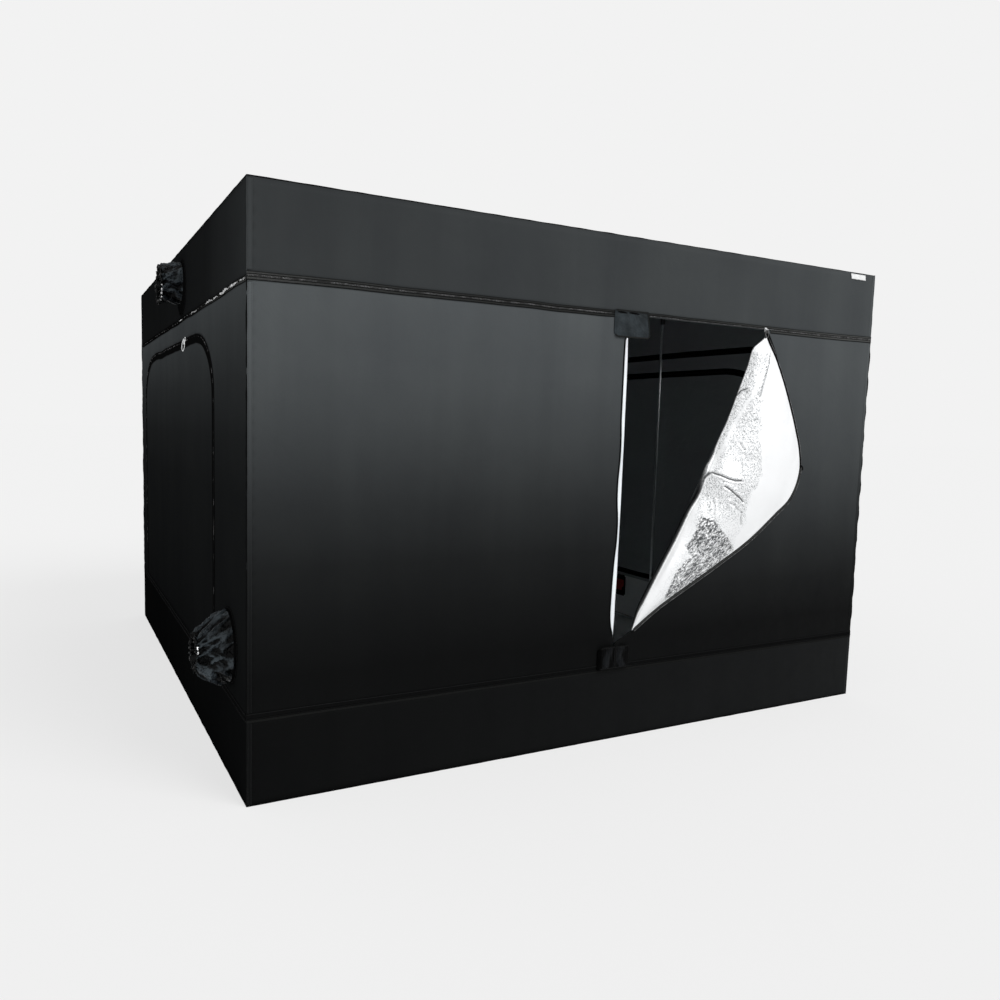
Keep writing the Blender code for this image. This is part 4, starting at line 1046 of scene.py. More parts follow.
def add_flap_bindings(edge):
    """Zip tapes along the flap's two free edges, with their teeth, and the tape tail at its corner."""
    edge = edge[1:-1]
    tip = int(np.argmax(edge[:, 0]))
    lower, outer = edge[:tip + 1], edge[tip:]
    piece = Piece(lower)
    piece.tape(0, 0.0135, 0.0011, -0.0095, -0.0004)
    piece.tape(1, 0.0022, 0.0016, -0.0100, -0.0004)
    piece.follow(outer).tape(1, 0.010, 0.0012, -0.0050, -0.0006)
    piece.follow(edge).cord(1, 0.0016, -0.0006, -0.0012)
    for part, offset in ((lower, -0.0135), (outer, -0.0105)):
        piece.follow(part).teeth(2, offset, 0.0003, FLAP_TOOTH_PITCH, FLAP_TOOTH_SIZE)
    wedge = np.array([(0.766, 0.003, 1.6985), (0.779, 0.004, 1.680), (0.791, 0.006, 1.655), (0.807, 0.010, 1.625),
                      (0.822, 0.015, 1.594), (0.832, 0.018, 1.570)])
    wedge[:, 1] = FRONT - wedge[:, 1]
    piece.follow(wedge).tape(1, 0.015, 0.0014, 0, 0, (0.5, 0.9, 1.0, 0.8, 0.45, 0.2))
    tail = [(0, -0.001, 0), (0.012, -0.001, 0.004), (0.024, 0.004, -0.003), (0.033, 0.010, -0.013)]
    piece.follow(edge[tip] + np.array(tail)).tape(1, 0.010, 0.0012, 0, 0)
    piece.build("flap_zip_tapes", (FLAP_TAPE, DARK_TAPE, COIL), "right_door_flap")


# Zips and seams

TAB_SEAM_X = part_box("top_tab")[0].x


def half_zip(name, path, sign, width, body="tent", edge=1):
    """Half a zip on one side of its line: tape, bound edge, a dark groove, a row of stitches, and teeth but for
    the few that the top tab is sewn over."""
    piece = Piece(path)
    piece.tape(0, width, 0.0010, sign * (width / 2 + 0.0008))
    piece.cord(edge, 0.0011, sign * (width + 0.0004))
    piece.tape(1, 0.0026, 0.0012, sign * 0.0044)
    piece.stitch(3, sign * (width - 0.0025), 0.0011)
    for part in (path[path[:, 0] < TAB_SEAM_X - 0.011], path[path[:, 0] > TAB_SEAM_X + 0.009]):
        if len(part) > 2:
            piece.follow(part).teeth(2, sign * 0.0013, 0.0008)
    piece.build(name, (TAPE, DARK_TAPE, COIL, STITCH_THREAD, EDGE_CORD), body)


def within(line, low, high):
    """The points of a line between two places across the front."""
    return line[(line[:, 0] >= low) & (line[:, 0] <= high)].copy()


def dip(line, middle, half, fade):
    """Pushes the front's line back where a tab lies over it."""
    line[:, 1] += 0.0012 * (1 - smoothstep((np.abs(line[:, 0] - middle) - half) / fade))


def add_front_zips():
    """The zip under the head band, and the tape where the doors meet the base band."""
    line = wall_line("front", (LEFT, ZIP_TOP + 0.003), (RIGHT, ZIP_TOP + 0.003), 0.0010)
    line = wavy(line, FRONT_OUT, 0.0014, 0.5, 61)
    dip(line, TAB_SEAM_X, 0.012, 0.02)
    half_zip("head_zip_tape", line, 1, 0.0112, edge=4)
    for side, low, high in (("left", LEFT, MEET_X + 0.012), ("right", FOLD_TOP.x, RIGHT)):
        half_zip(f"{side}_door_top_tape", within(line, low, high), -1, 0.0128, f"{side}_front_door")
    line = wavy(wall_line("front", (LEFT, ZIP_LOW), (RIGHT, ZIP_LOW), 0.0015), FRONT_OUT, 0.0006, 0.6, 62)
    mats = (BASE_TAPE, DARK_TAPE, COIL, STITCH_THREAD, EDGE_CORD)
    base = Piece(line)
    base.tape(0, 0.012, 0.0012, -0.0074, -0.001)
    base.cord(1, 0.0015, -0.0032, -0.001)
    base.stitch(4, -0.010, 0.0004)
    base.build("base_band_seam", mats)
    for side, low, high in (("left", LEFT, MEET_X - 0.001), ("right", MEET_X + 0.001, RIGHT)):
        part = within(line, low, high)
        dip(part, MEET_X, 0.085, 0.03)
        piece = Piece(part)
        piece.tape(1, 0.013, 0.0010, 0.0080, -0.001)
        piece.cord(4, 0.0010, 0.0145, -0.001)
        piece.build(f"{side}_door_low_tape", mats, f"{side}_front_door")


def add_left_door_edge():
    """The left door's free edge: turned out so that its lining shows, with the zip tape beside it."""
    heights = np.linspace(0.432, 1.613, 241)
    share = (heights - heights[0]) / (heights[-1] - heights[0])
    fold, free = lip_edge(heights), lip_edge(heights, 1)
    notch, tip = smoothstep((1.0 - share) / 0.006), smoothstep(share / 0.03)
    free = fold + (free - fold) * (0.12 + 0.88 * tip) * (0.6 + 0.4 * notch)
    wave = 1 + 0.6 * line_noise(heights, 0.22, 72, 2)
    rows = []
    for k in range(17):
        turn = pi * min(k / 16 / 0.25, 1.0)
        flat = max(0.0, (k / 16 - 0.25) / 0.75)
        y = FRONT - 0.0006 - 0.0022 * (1 - cos(turn)) / 2 - 0.0020 * sin(pi * flat) * wave - 0.0006 * flat
        rows.append(np.stack([fold + 0.0016 * sin(turn) + (free - fold) * flat, y, heights], -1))
    rows = np.array(rows)
    obj = grid_sheet("left_door_lining_lip", rows, (LIP_FOIL, DARK_TAPE), "front", 0.0008)
    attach(obj, "left_front_door")
    piece = Piece()
    for x, y, thickness, lift in ((fold + 0.0034, FRONT + 0.0002, 0.0012, -0.0006),
                                  (free - 0.0026, FRONT - 0.0006, 0.0010, -0.0002)):
        piece.follow(np.stack([x, np.full(len(x), y), heights], -1)).tape(1, 0.0050, thickness, 0, lift)
    piece.build("left_door_edge_tape", (TAPE, DARK_TAPE), "left_front_door")


# Edge piping, hems and seams of the cover

DIAGONAL = 0.70711
PIPING_STEPS = 140


def add_corner_piping():
    """Cord piping along the cover's outer edges, which takes the bands' tones at the two front corners."""
    lines = []
    for x in (LEFT, RIGHT):
        for y in (FRONT, REAR):
            out = (np.sign(x) * DIAGONAL, np.sign(y) * DIAGONAL, 0)
            for low, high, mat in ((WALL_LOW + 0.004, ZIP_LOW, 1), (ZIP_LOW, ZIP_TOP, 0),
                                   (ZIP_TOP, WALL_TOP - 0.004, 2)):
                size, rough = ((0.62, 0.62), 0.0) if mat else ((0.75, 0.75), 0.32)
                lines.append(((x, y, low), (x, y, high), out, mat if y == FRONT else 0, size, rough))
    for z, lift in ((TOP, DIAGONAL), (0.0005, 0.0)):
        for y in (FRONT, REAR):
            size = (0.80, 0.40) if lift and y == FRONT else (0.75, 0.75)
            lines.append(((LEFT, y, z), (RIGHT, y, z), (0, np.sign(y) * DIAGONAL, lift), 0, size, 0.06))
        for x in (LEFT, RIGHT):
            lines.append(((x, FRONT, z), (x, REAR, z), (np.sign(x) * DIAGONAL, 0, lift), 0, (0.7, 0.7), 0.06))
    piece = Piece()
    for k, (start, end, out, mat, size, rough) in enumerate(lines):
        travel, out = np.array(end) - np.array(start), np.array(out) / np.linalg.norm(out)
        run = np.linspace(0, np.linalg.norm(travel), PIPING_STEPS)
        sway = 0.0006 * line_noise(run, 0.11, 200 + k, 2) * smoothstep(np.minimum(run, run[-1] - run) / 0.1)
        size = np.linspace(*size, PIPING_STEPS) + rough * line_noise(run, 0.10, 230 + k, 3)
        line = np.array(start) + travel * np.linspace(0, 1, PIPING_STEPS)[:, None]
        piece.follow(line + out * (sway - PIPING_RADIUS * 0.9)[:, None], out)
        piece.cord(mat, PIPING_RADIUS, scale=np.clip(size, 0.25, 1.1))
    piece.build("corner_piping", (DARK_TAPE, BASE_HEM, HEAD_HEM))


def add_edge_hems():
    """The bound strips along the front's two upright edges, one on each band and each door."""
    for side, u, sign in (("left", LEFT, 1), ("right", RIGHT, -1)):
        near, far = u + sign * 0.002, u + sign * 0.018
        middle, width = (near + far) / 2, abs(far - near)
        for part, low, high, mat, body, seed in (
                ("head", ZIP_TOP + 0.020, WALL_TOP - 0.006, HEAD_HEM, "tent", 81),
                ("door", ZIP_LOW + 0.018, ZIP_TOP - 0.019, DOOR_HEM, f"{side}_front_door", 82),
                ("base", WALL_LOW + 0.004, ZIP_LOW - 0.014, BASE_HEM, "tent", 83)):
            line = wall_line("front", (middle, low), (middle, high), 0.0006)
            piece = Piece(wavy(line, FRONT_OUT, 0.0006, 0.4, seed))
            piece.tape(0, width, 0.0007, 0, -0.0004)
            piece.stitch_both(1, width / 2 - 0.003, 0.0003, 0.0050, (0.0032, 0.0007, 0.0004))
            piece.build(f"{side}_{part}_hem", (mat, STITCH_THREAD), body)


def seam_band(name, side, margin, v, seed, width, outside=True, climb=0.0):
    """A sewn band across a wall, a margin in from its ends: tape, two bound edges and two rows of stitches."""
    u0, u1 = (LEFT + margin, RIGHT - margin) if side in ("front", "rear") else (FRONT + margin, REAR - margin)
    out = OUTWARD[side] if outside else tuple(-c for c in OUTWARD[side])
    line = wavy(wall_line(side, (u0, v), (u1, v), 0.0016 if outside else BEHIND), out, 0.0010, 0.5, seed)
    line[:, 2] += climb * smoothstep((np.abs(line[:, 1] - u0)) / 1.3)
    piece = Piece(line, out)
    piece.tape(0, width, 0.0009, 0, -0.0010)
    for at in (-1, 1):
        piece.cord(1, 0.0011, at * width / 2, -0.0010)
        piece.stitch(2, at * (width / 2 - 0.0035), -0.0001, 0.0048)
    piece.build(name, (WALL_TAPE, EDGE_CORD, STITCH_THREAD) if outside else (DARK_TAPE, TAPE, STITCH_THREAD))


def add_wall_bands():
    """The zip band of the left wall and the matching seams of the other walls, outside and inside."""
    add_left_zip_band()
    seam_band("left_base_seam", "left", 0.003, ZIP_LOW, 92, 0.024)
    for side in ("right", "rear"):
        seam_band(f"{side}_head_seam", side, 0.003, ZIP_TOP, 93, 0.033)
        seam_band(f"{side}_base_seam", side, 0.003, ZIP_LOW, 94, 0.024)
    for side in ("left", "right", "rear"):
        seam_band(f"{side}_inner_head_tape", side, 0.040, ZIP_TOP, 95, 0.034, False, 0.015 if side == "right" else 0.0)
        seam_band(f"{side}_inner_base_tape", side, 0.040, ZIP_LOW + 0.020, 96, 0.030, False)
    seam_band("front_inner_head_tape", "front", 0.040, ZIP_TOP + 0.016, 97, 0.026, False)


# Where the lining shows through the left wall's zip: from and to along the wall, and how tall
ZIP_GLIMPSES = (
    (-1.446, -1.418, 0.009), (-1.405, -1.365, 0.005), (-1.336, -1.204, 0.012), (-1.192, -1.041, 0.012),
    (-1.005, -0.925, 0.006), (-0.910, -0.769, 0.009), (-0.567, -0.434, 0.006), (-0.191, -0.100, 0.004),
)


def add_left_zip_band():
    """The left wall's upper zip: two tapes, teeth, and the lining that peeks out between them near the front."""
    out, height = OUTWARD["left"], ZIP_TOP - 0.006
    line = wall_line("left", (REAR - 0.003, height), (FRONT + 0.003, height), 0.0022, 0.012)
    line = wavy(line, out, 0.0016, 0.35, 63)
    piece = Piece(line, out)
    for sign, width in ((1, 0.0070), (-1, 0.0095)):
        piece.tape(0, width, 0.0010, sign * (width / 2 + 0.0002), -0.0012)
        piece.cord(1, 0.0010, sign * (width + 0.0008), -0.0012)
        piece.stitch(3, sign * (width - 0.0012), -0.0002)
    piece.teeth(2, 0.0, -0.0006, size=(0.0013, 0.0036, 0.0012))
    piece.build("left_wall_zip", (LEFT_ZIP_TAPE, DARK_TAPE, DARK_COIL, WALL_TAPE))
    step = evenly(line[line[:, 1] < -0.05], 0.003)
    run = np.arange(len(step)) * 0.003
    half = np.zeros(len(step))
    for near, far, tall in ZIP_GLIMPSES:
        t = np.clip((step[:, 1] - near) / (far - near), 0, 1)
        half = np.maximum(half, tall * 0.33 * np.sin(pi * t) ** 0.45)
    half = half * np.clip(0.85 + 0.45 * line_noise(run, 0.045, 64), 0.25, 1.4)
    drift = 0.0020 * line_noise(run, 0.05, 67, 2)
    rows = []
    for k in range(11):
        t = k / 10 * 2 - 1
        bow = 0.0040 * (1 - t * t) * np.clip(half / 0.004, 0, 1)
        crumple = 0.0028 * soft_noise(run, run * 0 + k * 0.004, 0.018, 65, 3) * np.clip(half / 0.003, 0, 1)
        rows.append(np.stack([step[:, 0] - bow - np.abs(crumple) - 0.0004, step[:, 1],
                              step[:, 2] - 0.001 + drift + half * t], -1))
    sliver = grid_sheet("left_zip_lining_glimpse", np.array(rows), (ZIP_GLINT, DARK_TAPE), "left", 0.0005, 1.0)
    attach(sliver, "tent")


# Side doors' zips

def door_path(side, step=0.012):
    """The zip's line round a side door, with the door on its inner hand, from one foot to the other."""
    low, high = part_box(f"{side}_side_door")
    top = high.z - DOOR_TOP_DROP[side]
    wide, tall = DOOR_CORNER
    outline = ([(low.y, low.z), (low.y, top - tall)] + corner_arc(low.y + wide, top - tall, 180, 90, 30)
               + corner_arc(high.y - wide, top - tall, 90, 0, 30) + [(high.y, low.z)])
    if side == "right":
        outline = outline[::-1]
    return evenly(outline, step, 0)


def add_side_door_zips():
    """Both halves of the side doors' zips, the tapes that cover them inside, and the tape under each sill."""
    mats = (ZIP_BLACK, DARK_TAPE, DARK_COIL, WALL_TAPE, EDGE_CORD)
    for side in ("left", "right"):
        path, out, door = door_path(side), OUTWARD[side], f"{side}_side_door"
        line = wavy(on_wall(side, path[:, 0], path[:, 1], 0.0022), out, 0.0022, 0.30, 66)
        for name, body, half, sign, width in (("door_zip_tape", door, line[1:-1], 1, 0.0270),
                                              ("wall_zip_tape", "tent", line, -1, 0.0075)):
            piece = Piece(half, out)
            piece.tape(0, width, 0.0010, sign * (width / 2 + 0.0006), -0.0010)
            piece.cord(4, 0.0009, sign * (width + 0.0010), -0.0008)
            piece.stitch(3, sign * (width - 0.0020), 0.0)
            piece.teeth(2, sign * 0.0014, -0.0003)
            piece.build(f"{side}_side_{name}", mats, body)
        inner = on_wall(side, path[:, 0], path[:, 1] + 0.003 * smoothstep((path[:, 0] + 0.6) / 0.8), BEHIND)
        for name, body, sign in (("door_inner_tape", door, -1), ("wall_inner_tape", "tent", 1)):
            piece = Piece(inner, tuple(-c for c in out))
            piece.tape(0, 0.0175, 0.0009, sign * 0.0090, 0)
            piece.stitch(3, sign * 0.0145, 0.0008, 0.0048)
            piece.build(f"{side}_side_{name}", mats, body)
        low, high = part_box(door)
        piece = Piece(wall_line(side, (low.y, low.z - 0.0056), (high.y, low.z - 0.0056), 0.0008), out)
        piece.tape(0, 0.0084, 0.0008, 0, -0.0004)
        piece.stitch(3, 0, 0.0004, 0.0048)
        piece.build(f"{side}_door_sill_tape", mats)


# Duct socks

# The direction from which the socks' painted light comes.
SOCK_LIGHT_FROM = (-0.45, -0.35, 0.80)
SOCK_RINGS, SOCK_ROUND, SOCK_BACK = 110, 260, 8
SOCK_FLANGE_SHARE = 0.075


def around(x, centre, radius, angle, droop=0.0):
    """Points round a sock's middle line."""
    return np.stack(np.broadcast_arrays(x, centre[0] + radius * np.cos(angle),
                                        centre[1] + radius * np.sin(angle) - droop), -1)


def sock_rings(centre, base, mouth, length, seed, shape):
    """Points of a crumpled sock from its seam on the wall to its gathered mouth and a little way back inside, with its
    painted shade: dark on the flange, in the hollows and inside.
    """
    turns, droop, neck, lift, belly, crush = shape
    theta = np.linspace(0, 2 * pi, SOCK_ROUND, endpoint=False)[None, :]
    s = np.linspace(0, 1, SOCK_RINGS)[:, None]
    rng = np.random.default_rng(seed)
    flange = smoothstep(s / 0.07)
    body = base + (neck - base) * flange + (mouth - neck) * (0.25 * s + 0.75 * s ** 1.6) - 0.004 * np.sin(pi * s)
    body = body + belly * np.sin(pi * s) ** 0.8 * np.clip(-np.sin(theta), 0, 1) ** 1.2
    twist = theta + 0.5 * s * np.sin(theta + rng.uniform(0, 6)) + 0.25 * np.sin(3 * theta + 5 * s)
    pleats = 0.0
    for k in range(3):
        count = turns + 3 * k
        pleats = pleats + ridged(np.sin(count / 2 * twist + rng.uniform(0, 6) + 2.0 * s * (k - 1))) / (k + 1.6)
    px, pz = np.cos(theta) * base, np.sin(theta) * base
    lump = soft_noise(px * 1.2 + s * length, pz * 1.2 - s * length * 0.7, 0.085, seed + 1, 2)
    fold = ridged(soft_noise(px + s * length * 0.5, pz + s * length * 0.4, 0.075, seed + 2, 2) * 1.3)
    fine = ridged(soft_noise(px * 1.4 + s * length, pz * 1.4, 0.022, seed + 3, 2) * 1.2)
    grow = smoothstep(s / 0.10) * (0.45 + 0.55 * s)
    rise = grow * (0.0050 * pleats + crush * (0.0058 * lump + 0.0056 * fold + 0.0014 * fine))
    pinch = smoothstep((s - 0.88) / 0.06) * smoothstep((1 - s) / 0.05 + 0.2)
    ruffle = 0.0042 * np.sin(27 * theta + 2.5 * np.sin(3 * theta)) * smoothstep((s - 0.80) / 0.2)
    radius = body + rise + ruffle - 0.0075 * pinch
    shift = 0.0030 * ridged(np.sin(9 * theta + 2 * np.sin(2 * theta) + seed)) * s ** 2
    rows = around(LEFT - SEAT - length * s - shift, centre, radius, theta, droop * s ** 1.5)
    rows[..., 2] += lift * flange
    back = []
    for k in range(1, SOCK_BACK + 1):
        t = k / SOCK_BACK
        inner = radius[-1] - 0.004 * sin(pi * min(1, t * 1.5) / 2) - 0.010 * t
        inner = inner + 0.0016 * np.sin(31 * theta[0] + 6 * t)
        back.append(around(LEFT - SEAT - length + 0.030 * t - 0.002 * sin(pi * t), centre, inner, theta[0], droop))
    back = np.array(back)
    back[..., 2] += lift
    # Painted shade: black on the flange, darker in the hollows of the crumple, and dark on the way back inside.
    sock_crease_shade = np.where(s < SOCK_FLANGE_SHARE, -1.0, rise / 0.010)
    sock_crease_shade = np.concatenate([np.broadcast_to(sock_crease_shade, radius.shape), np.full((SOCK_BACK, SOCK_ROUND), -0.6)])
    return np.concatenate([rows, back]), sock_crease_shade


def add_attribute(obj, name, values):
    """A number for each point of a mesh, which its material can read."""
    layer = obj.data.attributes.new(name, "FLOAT", "POINT")
    layer.data.foreach_set("value", np.asarray(values, np.float32).ravel())


def add_sock(name, base, mouth, length, seed, shape, glints):
    """One duct sock, in its CAD solid's place: shape is pleats, droop, neck, lift, belly and crumple."""
    centre, _ = sock_hole(name)
    droop, lift = shape[1], shape[3]
    rows, sock_crease_shade = sock_rings(centre, base, mouth, length, seed, shape)
    faces = grid_faces(len(rows), rows.shape[1], closed=True)
    obj = make_object(f"{name}_sock_cloth", rows.reshape(-1, 3), faces, (NYLON, SOCK_INSIDE_SHADE, ZIP_BLACK))
    add_attribute(obj, "fold", sock_crease_shade)
    obj.data.update()
    first = obj.data.polygons[SOCK_ROUND * 20]
    away = first.center - Vector((first.center.x, centre[0], centre[1]))
    if first.normal.dot(away) < 0:
        obj.data.flip_normals()
    # Painted light: how far each point of the sock faces the light, which its material makes lighter.
    facing = np.empty(rows.size)
    obj.data.vertex_normals.foreach_get("vector", facing)
    facing = facing.reshape(-1, 3) @ unit(np.array([SOCK_LIGHT_FROM]))[0]
    add_attribute(obj, "turned", np.clip(0.5 + 0.5 * facing, 0, 1))
    # The flange's faces take the black tape: painted shade.
    flange = int(SOCK_FLANGE_SHARE * SOCK_RINGS) * SOCK_ROUND
    for face in obj.data.polygons[:flange]:
        face.material_index = 2
    thicken(obj, 0.0006)
    add_sheet(obj, f"{name}_duct_sock", "tent")
    add_sock_collar(name, centre, base)
    add_sock_mouth(name, (centre[0], centre[1] + lift), mouth, length, droop, seed, glints)


def add_sock_collar(name, centre, base):
    """The sewn collar where the sock meets the wall."""
    piece = Piece(around(LEFT - 0.0016, centre, base + 0.001, np.linspace(0, 2 * pi, 97)), OUTWARD["left"])
    piece.tape(0, 0.012, 0.0010, 0.0050, -0.0010)
    piece.cord(1, 0.0016, 0.0, -0.0010)
    piece.stitch(2, 0.0075, 0.0)
    piece.build(f"{name}_sock_collar", (ZIP_BLACK, DARK_TAPE, STITCH_THREAD))


def add_sock_mouth(name, centre, mouth, length, droop, seed, glints):
    """The gathered hem at the mouth with its draw cord, and slivers of lining that show beside it."""
    angle = np.linspace(0, 2 * pi, 361)
    ruffle = 0.0028 * np.sin(27 * angle + 2.5 * np.sin(3 * angle)) + 0.0012 * np.sin(53 * angle)
    x = LEFT - SEAT - length * 0.965 - 0.0015 * np.sin(18 * angle)
    cord = Piece(around(x, centre, mouth - 0.004 + ruffle, angle, droop * 0.95), around(0.0, (0, 0), 1.0, angle))
    cord.cord(0, 0.0024, 0, -0.001, 10)
    cord.build(f"{name}_draw_cord", (DRAW_CORD,))
    rng = np.random.default_rng(seed + 9)
    flecks = Piece()
    for at, wide in glints:
        reach = np.linspace(at - wide / mouth / 2, at + wide / mouth / 2, 7)
        radius = mouth + 0.0015 + 0.0014 * rng.uniform(-1, 1, 7)
        x = LEFT - SEAT - length * 0.93 + 0.0016 * rng.uniform(-1, 1, 7)
        flecks.follow(around(x, centre, radius, reach, droop * 0.9), around(0.0, (0, 0), 1.0, reach))
        flecks.tape(0, 0.0060, 0.0008, 0, 0.0004, 0.55 + 0.45 * np.sin(np.linspace(0.2, pi - 0.2, 7)))
    flecks.build(f"{name}_sock_lining_edge", (GLINT,))


# Tabs

TAB_STAND, TAB_FOOT, BOTTOM_TAB_FOOT = 0.0032, 0.0026, 0.0018
TAB_FADE = 0.012
BOTTOM_TAB_RADIUS = 0.022


def tab_outline(width, height, corners):
    """A tab's outline from (0, 0) at its low left corner, with the radius of each rounded corner: sw, se, ne, nw."""
    points = []
    for name, (cx, cy), start in (("sw", (0, 0), 180), ("se", (width, 0), 270), ("ne", (width, height), 0),
                                  ("nw", (0, height), 90)):
        radius = corners.get(name)
        if radius is None:
            points.append((cx, cy))
            continue
        ax = cx + (radius if cx == 0 else -radius)
        ay = cy + (radius if cy == 0 else -radius)
        points += arc_points(ax, ay, radius, start, start + 90, 8)
    return points


def tab_sheet(name, low_u, low_v, outline, stand, relief, mats, body, node, bound, sewn, hollow=0.0):
    """A small tab with its own relief, in its CAD solid's place: low along the side that it is sewn and swings on
    (where, which way the tab lies from it, and how high it stands there), and bound along the others. Its
    cloth is painted darker where the relief is less than hollow: painted shade in its hollows."""
    points = [(low_u + u, low_v + v) for u, v in outline]
    seam_u, toward, foot = sewn

    def rise(u, v, edge):
        free = smoothstep((u - seam_u) * toward / TAB_FADE)
        return foot + (stand - foot + relief(u - low_u, v - low_v, edge)) * free
    obj = cloth_panel(name, "front", points, mats, gap=0.0030, relief=rise)
    flat_points = np.array([v.co[:] for v in obj.data.vertices])
    depth = relief(flat_points[:, 0] - low_u, flat_points[:, 2] - low_v, np.full(len(flat_points), 0.02)) - hollow
    add_attribute(obj, "fold", depth / max(1e-6, np.abs(depth).max()))
    add_sheet(obj, node, body)
    ring = resample(points, 0.0025)
    loose = (ring[:, 0] - seam_u) * toward > 0.006
    first = int(np.argmax(loose & ~np.roll(loose, 1)))
    ring = np.roll(ring, -first, axis=0)[:int(loose.sum())]
    place = on_wall("front", ring[:, 0], ring[:, 1], 0.0)
    place[:, 1] = FRONT - rise(ring[:, 0], ring[:, 1], np.zeros(len(ring))) - 0.0008
    piece = Piece(place)
    piece.tape(0, 0.0050, 0.0011, 0.0022, 0.0)
    piece.cord(0, 0.0011, -0.0002, -0.0004, 6)
    piece.stitch(1, 0.0036, 0.0011, 0.0042, (0.0026, 0.0007, 0.0004))
    piece.build(name + "_binding", (bound, STITCH_THREAD), body)


def add_tabs():
    """The tab over the zip's top and the pair over its low end."""
    low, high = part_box("top_tab")
    width, height = high.x - low.x, high.z - low.z

    def rays(u, v, edge):
        du, dv = u - width * 0.50, height * 1.05 - v
        angle = np.arctan2(du, np.maximum(dv, 1e-4))
        reach = np.hypot(du, dv) / height
        fan = 0.0005 * ridged(np.sin(9 * angle + 1.2)) * smoothstep(reach / 0.3) * smoothstep(edge / TAB_FADE)
        soft = 0.0009 * soft_noise(u, v, 0.05, 88, 3) * smoothstep(edge / TAB_FADE)
        return 0.0018 * smoothstep(edge / 0.02) + fan + soft + 0.0012 * (1 - v / height)
    height -= 0.002
    outline = [(u + (0.003 - 0.015 * v / height) * u / width, v)
               for u, v in tab_outline(width, height, {"sw": 0.022, "se": 0.020})]
    tab_sheet("top_tab_cloth", low.x, low.z, outline, TAB_STAND, rays, (TAB_NYLON, DARK_TAPE), "top_tab", "top_tab",
              TAB_BINDING, (low.x, 1, TAB_FOOT))
    # Dark strips under the tab's top edge: painted shadow, not a fold of cloth.
    fold = Piece()
    for start, end in ((0.018, 0.078), (0.092, 0.158)):
        line = wall_line("front", (low.x + start * 0.74, low.z + height - 0.008),
                         (low.x + end * 0.74, low.z + height - 0.010), TAB_STAND + 0.0024, 0.006)
        size = 0.35 + 0.65 * np.sin(np.linspace(0.25, pi - 0.25, len(line)))
        fold.follow(line).tape(0, 0.0060, 0.0012, scale=size)
    fold.build("top_tab_shadow", (DARK_TAPE,), "top_tab")
    for side in ("left", "right"):
        low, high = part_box(f"{side}_bottom_tab")
        width, height = high.x - low.x, high.z - low.z

        def crumple(u, v, edge, seed=(89 if side == "left" else 90)):
            tall = ridged(soft_noise(u * 1.0, v * 0.22, 0.030, seed, 2) * 1.2)
            soft = soft_noise(u, v * 0.4, 0.045, seed + 5, 3)
            middle = width * ((0.40 + 0.32 * v / height) if side == "left" else (0.34 + 0.10 * np.cos(5 * v / height)))
            ridge = np.exp(-((u - middle) / (0.20 * width)) ** 2)
            depth = 0.0030 * ridge + 0.0008 * tall + 0.0008 * soft
            return 0.5 * (depth + np.hypot(depth, 0.0006)) * smoothstep(edge / TAB_FADE)
        corner = {"nw" if side == "left" else "ne": BOTTOM_TAB_RADIUS}
        tab_sheet(f"{side}_bottom_tab_cloth", low.x, low.z, tab_outline(width, height, corner),
                  FRONT - low.y + 0.0003, crumple, (BOTTOM_NYLON, DARK_TAPE), f"{side}_bottom_tab",
                  f"{side}_bottom_tab", BOTTOM_BINDING,
                  (low.x, 1, BOTTOM_TAB_FOOT) if side == "left" else (high.x, -1, BOTTOM_TAB_FOOT),
                  0.0016)


# Vent, label and roof seams

def add_vent():
    """The low vent of the right wall: red filter cloth, its frame of tape and the flap that covers it outside."""
    low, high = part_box("vent_mesh")
    filter_cloth = cloth_panel("vent_filter", "right", rectangle(low.y, high.y, low.z, high.z), (RED_MESH, RED_MESH),
                               gap=0.01, relief=lambda u, v, edge: -0.0035 * smoothstep(edge / 0.04))
    add_sheet(filter_cloth, "vent_mesh", "tent")
    sills = (((low.y, low.z + 0.019), (high.y, low.z + 0.019), 0.058), ((high.y, low.z), (high.y, high.z), 0.020),
             ((high.y, high.z - 0.0065), (low.y, high.z - 0.0065), 0.033),
             ((low.y - 0.002, high.z), (low.y - 0.002, low.z), 0.016))
    for name, out, lift in (("inner", (-1, 0, 0), -(CLOTH + 0.0012)), ("outer", (1, 0, 0), 0.0004)):
        piece = Piece(out=out)
        for start, end, width in sills:
            piece.follow(wall_line("right", start, end, lift)).tape(0, width, 0.0010, 0, 0)
            piece.stitch_both(1, width / 2 - 0.0025, 0.0009, 0.0048)
        piece.build(f"vent_{name}_frame", (ZIP_BLACK, STITCH_THREAD))
    low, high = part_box("vent_flap")

    def swell(u, v, edge):
        soft = smoothstep(edge / 0.03)
        return (low.x - RIGHT) + CLOTH + 0.0016 * soft_noise(u, v, 0.11, 87) * soft + 0.0022 * soft
    flap = cloth_panel("vent_flap_cloth", "right", rectangle(low.y, high.y, low.z, high.z), (WALL_CLOTH, LINING),
                       gap=0.012, relief=swell)
    add_sheet(flap, "vent_flap", "vent_flap")


